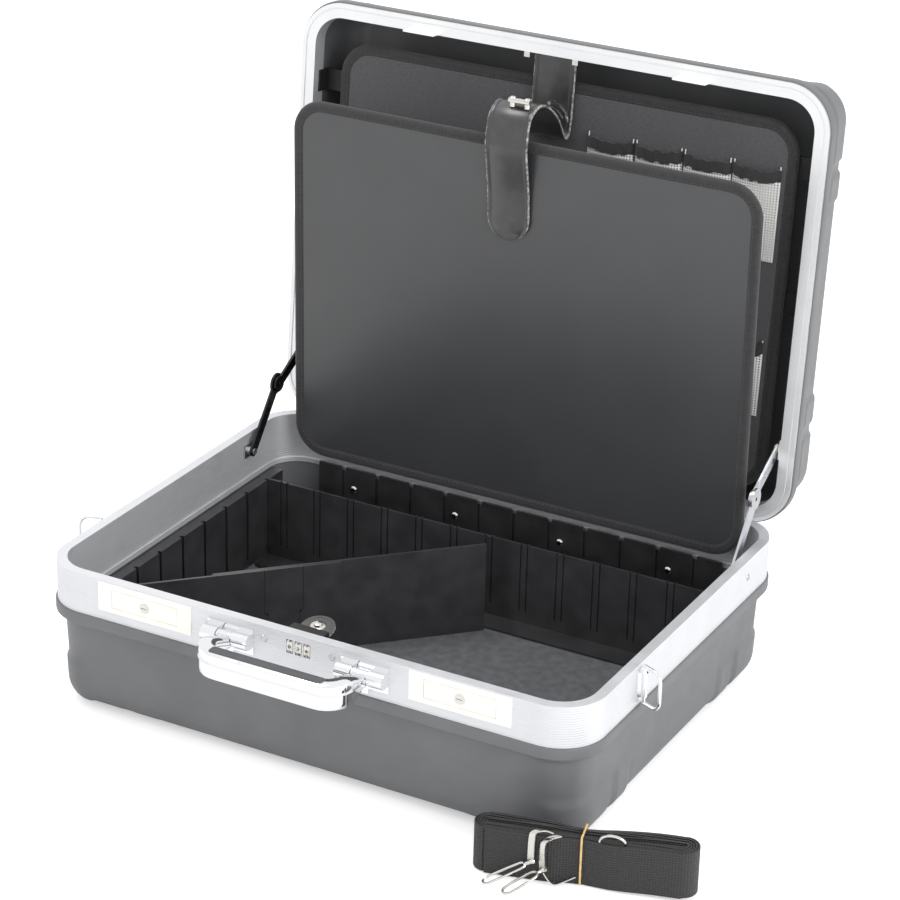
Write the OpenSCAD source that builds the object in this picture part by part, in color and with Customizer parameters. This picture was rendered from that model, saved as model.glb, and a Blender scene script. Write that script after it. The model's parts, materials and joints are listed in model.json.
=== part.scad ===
// Hard tool case: moulded shells, aluminium frames, folding lid with two tool boards.
// The case stands on the floor with its lid open. Origin: centre of the base, X right, Y back, Z up.

/* [Case] */
// Width over the frame
case_w = 470; // [430:1:520]
// Depth over the frame
case_d = 360; // [340:1:400]
// Height of the base, floor to lid seam
base_h = 124; // [118:1:160]
// Height of the lid above the seam
lid_h = 68; // [60:1:90]
// Plan radius of the corners
corner_r = 37; // [36:0.5:44]
// Angle of the open lid
lid_open = 95; // [90:1:100]

/* [Shells] */
// Wall of the moulded shells
shell_t = 3; // [2.5:0.1:3.5]
// How far the collar stands out from the frame
collar_out = 1.5; // [1:0.1:2]
// Height of the collar
collar_h = 11; // [10:0.5:11.5]
// Step in from the frame to the wall below the collar
wall_in = 6; // [5.5:0.1:6.4]
// Further lean of the wall towards the bottom
draft_in = 2.5; // [2:0.1:3]
// Radius of the bottom edge
edge_r = 20; // [14:1:22]
// Length of the raised corner pads from the wall's corner
pad_len = 66; // [55:1:75]
// Height of the raised corner pads
pad_h = 2; // [1.5:0.1:2.5]

/* [Frames] */
// Height of the base frame's outer face
frame_h = 33.5; // [30:0.5:36]
// Width of the base frame's rim
frame_w = 8.4; // [8:0.1:9]
// Wall of the frame profile
frame_t = 1.6; // [1.4:0.1:1.8]
// Width of the lid frame's face
lid_rim_w = 12.2; // [11.6:0.1:12.8]
// Depth of the lid frame's inner wall
lid_rim_h = 15; // [12:0.5:16]

/* [Hinges] */
// Length of each hinge
hinge_len = 46; // [36:1:60]
// Distance of the outer hinges from the middle
hinge_x = 140; // [120:1:160]
// Radius of the hinge knuckle
knuckle_r = 3; // [2.8:0.1:3.2]
// Radius of the hinge pin
pin_r = 1.4; // [1.2:0.1:1.6]

/* [Stays] */
// Length of the lower stay arm between pivots
stay_lower = 62; // [61:0.5:64]
// Length of the upper stay arm between pivots
stay_upper = 53.5; // [52.5:0.5:56]
// Width of the stay arms
stay_w = 9; // [8:0.5:10]
// Thickness of the stay arms
stay_t = 2; // [1.6:0.1:2.2]
// Radius of the round elbow plate
elbow_r = 9; // [8:0.5:10]

/* [Latches and lock] */
// Distance of each latch centre from the side of the case
latch_in = 99; // [85:1:110]
// Width of the latch plate
latch_w = 84; // [76:1:90]
// Height of the latch plate
latch_h = 24; // [22:1:25]
// Width of the latch flap
flap_w = 59; // [50:1:62]
// Height of the latch flap
flap_h = 15; // [13:0.5:16]
// Radius of the key barrel
barrel_r = 4; // [3.5:0.1:4.5]
// Radius of the number wheels
wheel_r = 8; // [7.5:0.1:8.5]
// Width of each number wheel
wheel_w = 5; // [4.4:0.1:5.4]
// Distance between the number wheels
wheel_pitch = 7.4; // [7:0.1:8]

/* [Handle] */
// Outer width of the handle
handle_w = 130; // [118:1:140]
// Reach of the handle from its pivot
handle_reach = 44; // [40:1:52]
// Height of the grip
grip_h = 22; // [20:1:24]
// Thickness of the grip
grip_t = 14; // [12:1:16]
// Width of the handle's arms
arm_w = 14; // [12:1:16]
// Width of the handle brackets
bracket_w = 40; // [36:1:44]

/* [Strap rings] */
// Distance of the rings behind the front face
ring_y = 92; // [70:1:120]
// Height of the ring
ring_h = 33; // [30:1:34]
// Reach of the ring
ring_reach = 19; // [16:1:22]
// Radius of the ring's wire
wire_r = 1.4; // [1.2:0.1:1.6]

/* [Inside] */
// Height of the side liners above the floor
liner_h = 79; // [74:1:79]
// Distance of the liners' inner faces from the frame's outer face
liner_in = 20.5; // [19.5:0.5:24]
// Distance between the slots of the side liners
slot_pitch = 33; // [30:1:40]
// Width of a slot
slot_w = 3.2; // [2.8:0.1:3.6]
// Distance of the middle divider behind the front face
divider_y = 302; // [272:1:304]
// Thickness of the dividers
divider_t = 2.4; // [2:0.1:2.6]
// Distance between the grooves of the middle and back panels
groove_pitch = 33; // [28:1:38]

/* [Tool boards] */
// Distance of the front tool board's side edges from the sides of the case
board_side = 26.5; // [25:0.5:50]
// Height of the front tool board
board_l = 318; // [280:1:320]
// Thickness of the boards at their binding
board_t = 6; // [5:0.5:6]
// Corner radius of the boards
board_r = 28; // [20:1:34]
// Distance of the strip's seam above the front board's lower edge
seam_up = 33.6; // [33:0.1:34.2]
// Width of the closing strap
strap_w = 37; // [32:1:42]
// Thickness of the closing strap
strap_t = 2.4; // [2:0.1:2.6]

/* [Shoulder strap] */
// Length of the folded strap
bundle_l = 165; // [140:1:190]
// Width of the webbing
webbing_w = 40; // [36:1:46]
// Thickness of the folded strap
bundle_t = 26; // [22:1:32]

/* [Hidden] */
$fn = 48;

// fits and small gaps
run_fit = 0.05;
seat_gap = 0.3;
play = 0.5;
eps = 0.01;

// main planes
front_y = -case_d / 2;
back_y = case_d / 2;
side_x = case_w / 2;
latch_x = side_x - latch_in;
board_w = case_w - 2 * board_side;
seam_z = base_h;
frame_z = seam_z - frame_h;
floor_z = pad_h + shell_t;
lid_gap = 0.3;
lid_lip = 2;

// hinge axis, inside the back face and just under the seam
hinge_in = 0.5;
hinge_drop = 4;
axis_y = back_y - hinge_in;
axis_z = seam_z - hinge_drop;

// ---------- helpers ----------

// a flat plate with round corners, its lower left corner of the outline inset from the case outline
module round_plate(w, d, r, h) {
    linear_extrude(h) {
        square([w - 2 * r, d], center = true);
        square([w, d - 2 * r], center = true);
        for (x = [-1, 1], y = [-1, 1]) {
            translate([x * (w / 2 - r), y * (d / 2 - r)]) circle(r);
        }
    }
}

// a closed ring around the case outline; the 2D child is the wall's section, x inwards and y up
module ring(w, d, r) {
    for (s = [0, 180]) {
        rotate([0, 0, s]) {
            translate([-(w / 2 - r), -d / 2, 0]) rotate([90, 0, 90]) linear_extrude(w - 2 * r) children();
            translate([w / 2, -(d / 2 - r), 0]) rotate([90, 0, 180]) linear_extrude(d - 2 * r) children();
        }
    }
    for (x = [-1, 1], y = [-1, 1]) {
        translate([x * (w / 2 - r), y * (d / 2 - r), 0]) {
            rotate([0, 0, x > 0 ? (y > 0 ? 0 : -90) : (y > 0 ? 90 : 180)]) {
                rotate_extrude(angle = 90) translate([r, 0]) mirror([1, 0]) children();
            }
        }
    }
}

// a bar with round ends in the YZ plane, from one pivot to the other
module link_bar(p, q, w, t) {
    v = q - p;
    translate([0, p[0], p[1]]) rotate([atan2(v[1], v[0]), 0, 0]) {
        rotate([0, 90, 0]) {
            cylinder(h = t, r = w / 2);
            translate([0, norm(v), 0]) cylinder(h = t, r = w / 2);
        }
        translate([0, 0, -w / 2]) cube([t, norm(v), w]);
    }
}

module x_cylinder(p, r, t) {
    translate([0, p[0], p[1]]) rotate([0, 90, 0]) cylinder(h = t, r = r);
}

// puts a piece that is drawn on the closed lid into the open pose
module on_lid() {
    translate([0, axis_y, axis_z]) rotate([-lid_open, 0, 0]) translate([0, -axis_y, -axis_z]) children();
}

// a point of the closed lid, as [y, z], carried to the open pose
function to_open(p) =
    let (y = p[0] - axis_y, z = p[1] - axis_z)
    [axis_y + y * cos(lid_open) + z * sin(lid_open), axis_z - y * sin(lid_open) + z * cos(lid_open)];

// where two circles about p and q meet, on the left of the way from p to q
function meet(p, rp, q, rq) =
    let (v = q - p, d = norm(v), a = (d * d + rp * rp - rq * rq) / (2 * d), h = sqrt(rp * rp - a * a))
    p + v * a / d + [-v[1], v[0]] * h / d;

// points on an arc, as [x, y]
function arc(c, r, a0, a1, n = 8) = [for (i = [0:n]) c + r * [cos(a0 + (a1 - a0) * i / n), sin(a0 + (a1 - a0) * i / n)]];

// ---------- shells ----------

rim_inner = 3.5;
wall_low = wall_in + draft_in;
step_h = 3.5;
skirt_h = collar_h - 0.5;

// section of a shell's wall, x inwards, y down from the frame seam
module shell_section(depth, out = 0) {
    low = depth - edge_r;
    inner_r = edge_r - shell_t;
    polygon(concat(
        [[-collar_out, 0], [-collar_out, collar_h - 1.5], [-collar_out + 1.5, collar_h], [wall_in - 1.5, collar_h],
            [wall_in, collar_h + 1.5]],
        arc([wall_low + edge_r, low], edge_r, 180, 90),
        [[wall_low + edge_r, depth - shell_t]],
        arc([wall_low + edge_r, low], inner_r, 90, 180),
        [[wall_in + shell_t, collar_h + 1], [wall_in + shell_t, skirt_h + 0.2], [wall_in + 0.4, skirt_h + 0.2],
            [wall_in + 0.4, skirt_h - 0.3], [rim_inner, collar_h - step_h], [rim_inner, 0]]
    ));
}

// skin of the raised corner pads outside the lower wall
module pad_section(depth) {
    low = depth - edge_r;
    polygon(concat(
        [[wall_low - 0.6, low - edge_r], [wall_low - pad_h, low - edge_r + 4]],
        arc([wall_low + edge_r, low], edge_r + pad_h, 180, 90),
        [[wall_low + edge_r + 26, depth + pad_h], [wall_low + edge_r + 28, depth], [wall_low + edge_r, depth]],
        arc([wall_low + edge_r, low], edge_r, 90, 180)
    ));
}

// pads at the four corners of a shell: a long one round the corner and a short one beside it
module corner_pads(depth) {
    rib = [pad_len + 10, pad_len + 32];
    reach = wall_low + edge_r + 30;
    intersection() {
        ring_deep(depth);
        union() {
            for (x = [-1, 1], y = [-1, 1]) {
                translate([x * side_x - (x > 0 ? pad_len : 0), y * back_y - (y > 0 ? pad_len : 0), -1]) {
                    cube([pad_len, pad_len, depth + 10]);
                }
                translate([x > 0 ? side_x - rib[1] : -side_x + rib[0], y > 0 ? back_y - reach : -back_y, -1]) {
                    cube([rib[1] - rib[0], reach, depth + 10]);
                }
                translate([x > 0 ? side_x - reach : -side_x, y > 0 ? back_y - rib[1] : -back_y + rib[0], -1]) {
                    cube([reach, rib[1] - rib[0], depth + 10]);
                }
            }
        }
    }
}

module ring_deep(depth) {
    r = wall_low + edge_r + 28;
    w = case_w;
    d = case_d;
    for (s = [0, 180]) {
        rotate([0, 0, s]) {
            translate([-(w / 2 - corner_r), -d / 2, 0]) rotate([90, 0, 90]) {
                linear_extrude(w - 2 * corner_r) pad_side(depth);
            }
            translate([w / 2, -(d / 2 - corner_r), 0]) rotate([90, 0, 180]) {
                linear_extrude(d - 2 * corner_r) pad_side(depth);
            }
        }
    }
    for (x = [-1, 1], y = [-1, 1]) {
        translate([x * (w / 2 - corner_r), y * (d / 2 - corner_r), 0]) {
            rotate([0, 0, x > 0 ? (y > 0 ? 0 : -90) : (y > 0 ? 90 : 180)]) {
                rotate_extrude(angle = 90) translate([corner_r, 0]) mirror([1, 0]) pad_side(depth);
            }
        }
    }
    // flat part of each pad, under the shell's floor
    for (x = [-1, 1], y = [-1, 1]) {
        translate([x * (w / 2 - corner_r) - (x > 0 ? 28 : 0), y * (d / 2 - corner_r) - (y > 0 ? 28 : 0), depth]) {
            cube([28, 28, pad_h]);
        }
    }
}

// the pad's section as far as the corner's centre line
module pad_side(depth) {
    intersection() {
        pad_section(depth);
        translate([-10, -10]) square([corner_r + 10, depth + 30]);
    }
}

module shell(depth) {
    ring(case_w, case_d, corner_r) shell_section(depth);
    inset = wall_low + edge_r;
    translate([0, 0, depth - shell_t]) {
        round_plate(case_w - 2 * inset, case_d - 2 * inset, corner_r - inset, shell_t);
    }
    corner_pads(depth);
}

field_in = 76;

module lower_shell() {
    color("#232326") translate([0, 0, frame_z]) mirror([0, 0, 1]) shell(frame_z - pad_h);
    // the raised field between the pads, level with them, that the case stands on
    color("#232326") round_plate(case_w - 2 * field_in, case_d - 2 * field_in, 12, pad_h + 1);
}

module lid_shell() {
    color("#232326") on_lid() translate([0, 0, seam_z + lid_gap + lid_lip]) shell(lid_h - lid_gap - lid_lip);
}

// ---------- base frame ----------

window_w = wheel_w + 2 * play;
window_h = 11.4;
wheel_z = seam_z - 11;
wheel_y = front_y + wheel_r - 0.7;
latch_z = seam_z - 1.5 - latch_h / 2;
latch_rim = 2;
flap_gap = 0.3;
bolt_w = 16;
bolt_h = 3;
bolt_z = seam_z - 10;
bolt_throw = 3.5;

module frame_section() {
    difference() {
        union() {
            translate([0, frame_z]) square([frame_w, frame_h]);
            translate([frame_w - frame_t, frame_z - skirt_h]) square([frame_t, skirt_h + 1]);
            translate([frame_w - frame_t, frame_z - skirt_h]) square([frame_t + 1.2, 4]);
        }
        translate([frame_t, frame_z + frame_t]) square([frame_w - 2 * frame_t, frame_h - 2 * frame_t - 0.4]);
    }
}

module base_frame() {
    color("#dcdde0") difference() {
        ring(case_w, case_d, corner_r) frame_section();
        // notches for the hinges
        for (x = [-hinge_x, 0, hinge_x]) {
            translate([x - hinge_len / 2 - 2, axis_y - knuckle_r - play, axis_z - knuckle_r - play]) {
                cube([hinge_len + 4, 20, 20]);
            }
        }
        // windows for the latches
        for (s = [-1, 1]) {
            translate([s * latch_x - flap_w / 2 - flap_gap - latch_rim, front_y - 1,
                latch_z - flap_h / 2 - flap_gap - latch_rim]) {
                cube([flap_w + 2 * (flap_gap + latch_rim), 3, flap_h + 2 * (flap_gap + latch_rim)]);
            }
            translate([s * latch_catch_x - bolt_w / 2 - play, front_y + frame_w - frame_t - 1, bolt_z - play]) {
                cube([bolt_w + 2 * play, frame_t + 2, bolt_h + 2 * play]);
            }
        }
        // windows for the number wheels
        for (i = [-1:1]) {
            translate([i * wheel_pitch - window_w / 2, front_y - 1, wheel_z - window_h / 2]) {
                cube([window_w, 3, window_h]);
            }
        }
        translate([-lock_w / 2 + frame_t, front_y + frame_w - frame_t - 1, wheel_z - wheel_r - play]) {
            cube([lock_w - 2 * frame_t, frame_t + 2, 2 * (wheel_r + play)]);
        }
    }
}

// ---------- inside of the base ----------

mat_in = wall_low + edge_r + 0.8;

module base_mat() {
    color("#3a3b3e") translate([0, 0, floor_z]) {
        round_plate(case_w - 2 * mat_in, case_d - 2 * mat_in, 8, 2);
    }
}

mat_top = floor_z + 2;
liner_back = 10.6;
liner_foot = 9.3;
liner_t = 2;
side_len = case_d - 2 * 33;
slots_n = floor((divider_y - 38) / slot_pitch);
slot_last = front_y + divider_y + divider_t / 2;

// a slotted side liner: an upright panel and a flat flange to the shell's wall, drawn for the left side
module side_liner() {
    difference() {
        union() {
            translate([-side_x + liner_in - liner_t, -side_len / 2, liner_foot]) {
                cube([liner_t, side_len, liner_h - liner_foot]);
            }
            translate([-side_x + liner_back, -side_len / 2, liner_h - liner_t]) {
                cube([liner_in - liner_back, side_len, liner_t]);
            }
        }
        for (i = [0:slots_n]) {
            translate([-side_x + liner_in - liner_t - 1, slot_last - i * slot_pitch - slot_w / 2, 16]) {
                cube([10, slot_w, 100]);
            }
        }
    }
}
module left_liner() { color("#1c1c1e") side_liner(); }
module right_liner() { color("#1c1c1e") mirror([1, 0, 0]) side_liner(); }

front_len = case_w - 2 * 52;
module front_liner() {
    color("#1c1c1e") difference() {
        union() {
            translate([-front_len / 2, front_y + liner_in - liner_t, liner_foot]) {
                cube([front_len, liner_t, liner_h - liner_foot]);
            }
            translate([-front_len / 2, front_y + liner_back, liner_h - liner_t]) {
                cube([front_len, liner_in - liner_back, liner_t]);
            }
        }
        for (i = [-back_groove_n:back_groove_n]) {
            translate([i * groove_pitch - slot_w / 2, front_y + liner_in - liner_t - 1, 16]) cube([slot_w, 10, 100]);
        }
    }
}

back_in = 12;
back_t = 2.4;
back_foot = 19;
back_top = 86;
back_len = case_w - 2 * 46;
back_face = back_y - back_in - back_t;
rivet_z = seam_z - 57;

module back_liner() {
    color("#1c1c1e") difference() {
        translate([-back_len / 2, back_face, back_foot]) cube([back_len, back_t, back_top - back_foot]);
        for (i = [-back_groove_n:back_groove_n]) {
            translate([i * groove_pitch - 1, back_face - 1, back_foot + 6]) cube([2, 2.2, 100]);
            translate([i * groove_pitch - 2.5, back_face - 1, back_top - 3]) cube([5, 10, 10]);
        }
        for (x = liner_rivet_x) translate([x, back_face - 1, rivet_z]) rotate([-90, 0, 0]) cylinder(h = 10, r = 1.5);
    }
}

liner_rivet_x = [-154.5, -55.5, 43.5, 142.5];
module liner_rivets() {
    color("#c9cacc") for (x = liner_rivet_x) translate([x, back_face, rivet_z]) rotate([-90, 0, 0]) {
        translate([0, 0, -1.2]) cylinder(h = 1.2, r1 = 2, r2 = 3.2);
        cylinder(h = back_t + 0.3, r = 1.5 - run_fit);
    }
}

foot_w = 22;
divider_top = 80;
divider_half = side_x - liner_in + 1.6;
groove_n = floor((divider_half - 12) / groove_pitch);
back_groove_n = floor((case_w / 2 - 56) / groove_pitch);
mid_face = front_y + divider_y;

module middle_divider() {
    half_top = side_x - liner_in - 1;
    color("#1a1a1c") difference() {
        union() {
            translate([-divider_half, mid_face, mat_top + 10]) {
                cube([2 * divider_half, divider_t, divider_top - mat_top - 10]);
            }
            translate([-half_top, mid_face, mat_top + seat_gap]) cube([2 * half_top, divider_t, 20]);
            translate([-half_top, mid_face - foot_w, mat_top + seat_gap]) cube([2 * half_top, foot_w + 1, 1.8]);
            for (i = [-groove_n:groove_n], s = [-1, 1]) {
                translate([i * groove_pitch + 3 * s, mid_face + divider_t / 2, divider_top]) cylinder(h = 0.8, r = 0.9);
            }
        }
        for (i = [-groove_n:groove_n], s = [-1, 1]) {
            translate([i * groove_pitch + 3 * s - 0.7, mid_face - 1, mat_top + 12]) cube([1.4, 2, 100]);
        }
    }
}

// the diagonal divider: two plates at 45 degrees whose ends are woven together
diag_start = [-side_x + liner_in + 2, front_y + 49];
diag_end = [-side_x + 246, mid_face - foot_w - 3.4];
diag_dir = diag_end - diag_start;
diag_len = norm(diag_dir);
weave_from = diag_len * 0.33;
weave_step = 29;
weave_n = 3;
diag_top = 86;
diag_foot = mat_top + seat_gap;

// one woven plate: straight, then stepping from one side of the centre line to the other
module woven_plate(first, from, to) {
    h = diag_top - diag_foot;
    sides = [for (i = [0:weave_n]) (i % 2 == 0 ? first : -first)];
    gap = 0.15;
    translate([diag_start[0], diag_start[1], diag_foot]) rotate([0, 0, atan2(diag_dir[1], diag_dir[0])]) {
        difference() {
            union() {
                translate([from, first > 0 ? gap : -gap - divider_t, 0]) cube([weave_from - from, divider_t, h]);
                for (i = [0:weave_n - 1]) {
                    x = weave_from + i * weave_step;
                    translate([x, sides[i] > 0 ? gap : -gap - divider_t, 0]) cube([weave_step, divider_t, h]);
                    if (i > 0) {
                        translate([x - divider_t / 2, -gap - divider_t, first > 0 ? h / 2 + 1 : 0]) {
                            cube([divider_t, 2 * (divider_t + gap), h / 2 - 1]);
                        }
                    }
                }
                x_end = weave_from + weave_n * weave_step;
                last = sides[weave_n - 1];
                translate([x_end, last > 0 ? gap : -gap - divider_t, 0]) cube([max(to - x_end, 4), divider_t, h]);
            }
            // where the other plate crosses
            for (i = [1:weave_n - 1]) {
                x = weave_from + i * weave_step;
                translate([x - divider_t / 2 - 0.3, -10, first > 0 ? -1 : h / 2 + 0.5]) {
                    cube([divider_t + 0.6, 20, h / 2 + 1.5]);
                }
            }
        }
    }
}

module diagonal_divider_front() { color("#1a1a1c") woven_plate(-1, 0, weave_from + weave_n * weave_step + 4); }
module diagonal_divider_rear() {
    color("#1f1f22") woven_plate(1, weave_from - 14, diag_len);
}

// leather tab with a press stud, fixed to the inner face of the lock's housing
tab_w = 26;
tab_l = 21.5;
tab_t = 2;
tab_tilt = 8;
stud_r = 6;

module at_tab() {
    away = seat_gap + tab_t * sin(tab_tilt);
    translate([0, front_y + lock_back + away, seam_z - 8]) rotate([tab_tilt, 0, 0]) children();
}

module document_tab() {
    color("#19191a") at_tab() {
        translate([-tab_w / 2, 0, 0]) cube([tab_w, tab_l - tab_w / 2, tab_t]);
        intersection() {
            translate([0, tab_l - tab_w / 2, 0]) cylinder(h = tab_t, r = tab_w / 2);
            translate([-50, 0, -1]) cube([100, 100, 5]);
        }
    }
}

module tab_stud() {
    color("#c9cacc") at_tab() translate([0, tab_l - 12, tab_t]) {
        cylinder(h = 1, r = stud_r);
        translate([0, 0, 1]) cylinder(h = 1.8, r1 = 3.4, r2 = 2.8);
    }
}

// ---------- latches ----------

latch_catch_x = latch_x - 16;
flap_axis_z = latch_z + flap_h / 2 - 1;
flap_axis_y = front_y + 0.4;
trunnion_r = 0.8;
plate_proud = 0.8;

module latch_plate() {
    w = flap_w + 2 * flap_gap;
    h = flap_h + 2 * flap_gap;
    color("#e9e6d8") difference() {
        union() {
            translate([-latch_w / 2, front_y - plate_proud, latch_z - latch_h / 2]) cube([latch_w, plate_proud, latch_h]);
            translate([-w / 2 - latch_rim + 0.1, front_y - 0.1, latch_z - h / 2 - latch_rim + 0.1]) {
                cube([w + 2 * latch_rim - 0.2, 3.5, h + 2 * latch_rim - 0.2]);
            }
        }
        translate([-w / 2, front_y - 5, latch_z - h / 2]) cube([w, 20, h]);
        translate([-w / 2 - 1.4, flap_axis_y, flap_axis_z]) rotate([0, 90, 0]) {
            cylinder(h = w + 2.8, r = trunnion_r + run_fit);
        }
    }
}

module latch_flap() {
    color("#efecdf") difference() {
        union() {
            translate([-flap_w / 2, flap_axis_y - 1, latch_z - flap_h / 2]) cube([flap_w, 2, flap_h - 1]);
            translate([-flap_w / 2, flap_axis_y, flap_axis_z]) rotate([0, 90, 0]) cylinder(h = flap_w, r = 1);
            translate([-flap_w / 2 - 1.3, flap_axis_y, flap_axis_z]) rotate([0, 90, 0]) {
                cylinder(h = flap_w + 2.6, r = trunnion_r);
            }
            // finger edge at the bottom
            translate([-flap_w / 2 + 8, flap_axis_y - 1.3, latch_z - flap_h / 2]) cube([flap_w - 16, 0.5, 1]);
        }
        translate([0, flap_axis_y - 5, latch_z - 0.5]) rotate([-90, 0, 0]) cylinder(h = 20, r = barrel_r + run_fit);
    }
}

module latch_barrel() {
    color("#d9d6c8") difference() {
        union() {
            translate([0, flap_axis_y - 1.5, latch_z - 0.5]) rotate([-90, 0, 0]) cylinder(h = 3.2, r = barrel_r);
            translate([0, flap_axis_y + 1.1, latch_z - 0.5]) rotate([-90, 0, 0]) cylinder(h = 1, r = barrel_r + 1);
        }
        translate([-2.6, flap_axis_y - 2, latch_z - 0.9]) cube([5.2, 1.6, 0.8]);
    }
}

module latch_bolt() {
    color("#b9babd") {
        translate([-bolt_w / 2, front_y + frame_t + 0.4 + bolt_throw, bolt_z]) cube([bolt_w, frame_w - frame_t, bolt_h]);
    }
}

module latch_plate_left() { translate([-latch_x, 0, 0]) latch_plate(); }
module latch_plate_right() { translate([latch_x, 0, 0]) latch_plate(); }
module latch_flap_left() { translate([-latch_x, 0, 0]) latch_flap(); }
module latch_flap_right() { translate([latch_x, 0, 0]) latch_flap(); }
module latch_barrel_left() { translate([-latch_x, 0, 0]) latch_barrel(); }
module latch_barrel_right() { translate([latch_x, 0, 0]) latch_barrel(); }
module latch_bolt_left() { translate([-latch_catch_x, 0, 0]) latch_bolt(); }
module latch_bolt_right() { translate([latch_catch_x, 0, 0]) latch_bolt(); }

// catch tongues of the lid, each with a slot for its bolt
catch_w = 28;
catch_in = frame_w + 1;
catch_t = 1.4;
catch_down = 13;

module lid_catches() {
    color("#eceae2") on_lid() for (s = [-1, 1]) {
        difference() {
            translate([s * latch_catch_x - catch_w / 2, front_y + catch_in, seam_z - catch_down]) {
                cube([catch_w, catch_t, catch_down + lid_gap]);
            }
            translate([s * latch_catch_x - bolt_w / 2 - play, front_y, bolt_z - play]) {
                cube([bolt_w + 2 * play, 30, bolt_h + 2 * play]);
            }
        }
    }
}

// ---------- lock ----------

lock_w = 3 * wheel_pitch + 8;
lock_t = 1.5;
lock_back = 2 * wheel_r + 3;
axle_r = 1.5;

module lock_housing() {
    h = 2 * wheel_r + 3.4;
    y0 = front_y + frame_w;
    color("#2a2a2c") difference() {
        translate([-lock_w / 2, y0, wheel_z - h / 2]) cube([lock_w, lock_back - frame_w, h]);
        translate([-lock_w / 2 + lock_t, y0 - 1, wheel_z - h / 2 + lock_t]) {
            cube([lock_w - 2 * lock_t, lock_back - frame_w - lock_t + 1, h - 2 * lock_t]);
        }
    }
}

module lock_axle() {
    inner = lock_w - 2 * lock_t;
    color("#b9babd") {
        translate([-inner / 2 + 0.1, wheel_y, wheel_z]) rotate([0, 90, 0]) cylinder(h = inner - 0.2, r = axle_r);
        for (s = [-1, 1]) {
            translate([s * (inner / 2 - 1.3) - 0.6, wheel_y - axle_r, wheel_z - axle_r - 1]) {
                cube([1.2, front_y + lock_back - lock_t - wheel_y + axle_r, 2 * axle_r + 2]);
            }
        }
    }
}

module lock_wheel(i) {
    facets = 10;
    color("#e4e2da") translate([i * wheel_pitch - wheel_w / 2, wheel_y, wheel_z]) rotate([0, 90, 0]) {
        difference() {
            cylinder(h = wheel_w, r = wheel_r);
            translate([0, 0, -1]) cylinder(h = wheel_w + 2, r = axle_r + run_fit);
            for (k = [0:facets - 1]) {
                rotate([0, 0, (k + 0.5) * 360 / facets]) translate([wheel_r + 0.4, 0, -1]) {
                    cylinder(h = wheel_w + 2, r = 1, $fn = 16);
                }
            }
        }
    }
}
module lock_wheel_1() { lock_wheel(-1); }
module lock_wheel_2() { lock_wheel(0); }
module lock_wheel_3() { lock_wheel(1); }

// rivets on the outside of the base frame
module frame_rivets() {
    color("#cfd0d2") {
        for (x = [-29, 29]) {
            translate([x, front_y - 1, seam_z - 10]) rotate([-90, 0, 0]) cylinder(h = 1, r1 = 2, r2 = 3);
        }
        for (s = [-1, 1]) {
            translate([s * side_x, stay_foot[0], stay_foot[1]]) rotate([0, 90 * s, 0]) cylinder(h = 0.8, r1 = 3, r2 = 2);
        }
    }
}

// ---------- handle ----------

handle_arm_x = handle_w / 2 - arm_w / 2;
pivot_out = 7.5;
pivot_y = front_y - pivot_out;
pivot_z = seam_z - 13.5;
handle_pin_r = 2;
bracket_h = 21;
bracket_base = 2;
cheek_r = 6;
arm_r = 5.2;
cheek_w = (bracket_w - arm_w - 2 * seat_gap) / 2;

module handle_brackets() {
    color("#e6e7ea") for (s = [-1, 1]) translate([s * handle_arm_x, 0, 0]) difference() {
        union() {
            translate([-bracket_w / 2, front_y - bracket_base, pivot_z - bracket_h / 2 - 2]) {
                cube([bracket_w, bracket_base, bracket_h]);
            }
            // ledge that the lowered arm rests on
            translate([-arm_w / 2, front_y - 9, pivot_z - bracket_h / 2 - 2]) {
                cube([arm_w, 8, bracket_h / 2 + 2 - arm_r - 0.1]);
            }
            for (c = [-1, 1]) {
                translate([c * (bracket_w - cheek_w) / 2 - cheek_w / 2, pivot_y, pivot_z]) {
                    rotate([0, 90, 0]) cylinder(h = cheek_w, r = cheek_r);
                    translate([0, 0, -cheek_r]) cube([cheek_w, pivot_out - 1, 2 * cheek_r]);
                }
            }
        }
        translate([-bracket_w / 2 + 3, pivot_y, pivot_z]) rotate([0, 90, 0]) {
            cylinder(h = bracket_w - 6, r = handle_pin_r + run_fit);
        }
    }
}

module handle_pins() {
    color("#b9babd") for (s = [-1, 1]) {
        translate([s * handle_arm_x - bracket_w / 2 + 3.2, pivot_y, pivot_z]) rotate([0, 90, 0]) {
            cylinder(h = bracket_w - 6.4, r = handle_pin_r);
        }
    }
}

grip_y = pivot_y - handle_reach + grip_t;
grip_z = seam_z - 15;

module handle_bar() {
    bend_r = 14;
    color("#e6e7ea") difference() {
        union() {
            // arms
            for (s = [-1, 1]) translate([s * handle_arm_x - arm_w / 2, 0, 0]) {
                translate([0, pivot_y, pivot_z]) rotate([0, 90, 0]) cylinder(h = arm_w, r = arm_r);
                translate([0, grip_y - 0.5, pivot_z - arm_r]) cube([arm_w, pivot_y - grip_y + 0.5, 2 * arm_r]);
            }
            // grip with round outer corners
            translate([0, grip_y - grip_t, grip_z - grip_h / 2]) linear_extrude(grip_h) {
                translate([-handle_w / 2 + bend_r, 0]) square([handle_w - 2 * bend_r, grip_t]);
                for (s = [-1, 1]) intersection() {
                    translate([s * (handle_w / 2 - bend_r), bend_r]) circle(bend_r);
                    translate([s > 0 ? 0 : -handle_w, 0]) square([handle_w, grip_t]);
                }
            }
        }
        for (s = [-1, 1]) translate([s * handle_arm_x - arm_w, pivot_y, pivot_z]) rotate([0, 90, 0]) {
            cylinder(h = 2 * arm_w, r = handle_pin_r + run_fit);
        }
        // seat of the insert
        translate([-insert_w / 2, grip_y - grip_t + 3, grip_z + grip_h / 2 - 1.6]) cube([insert_w, grip_t, 5]);
    }
}

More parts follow.
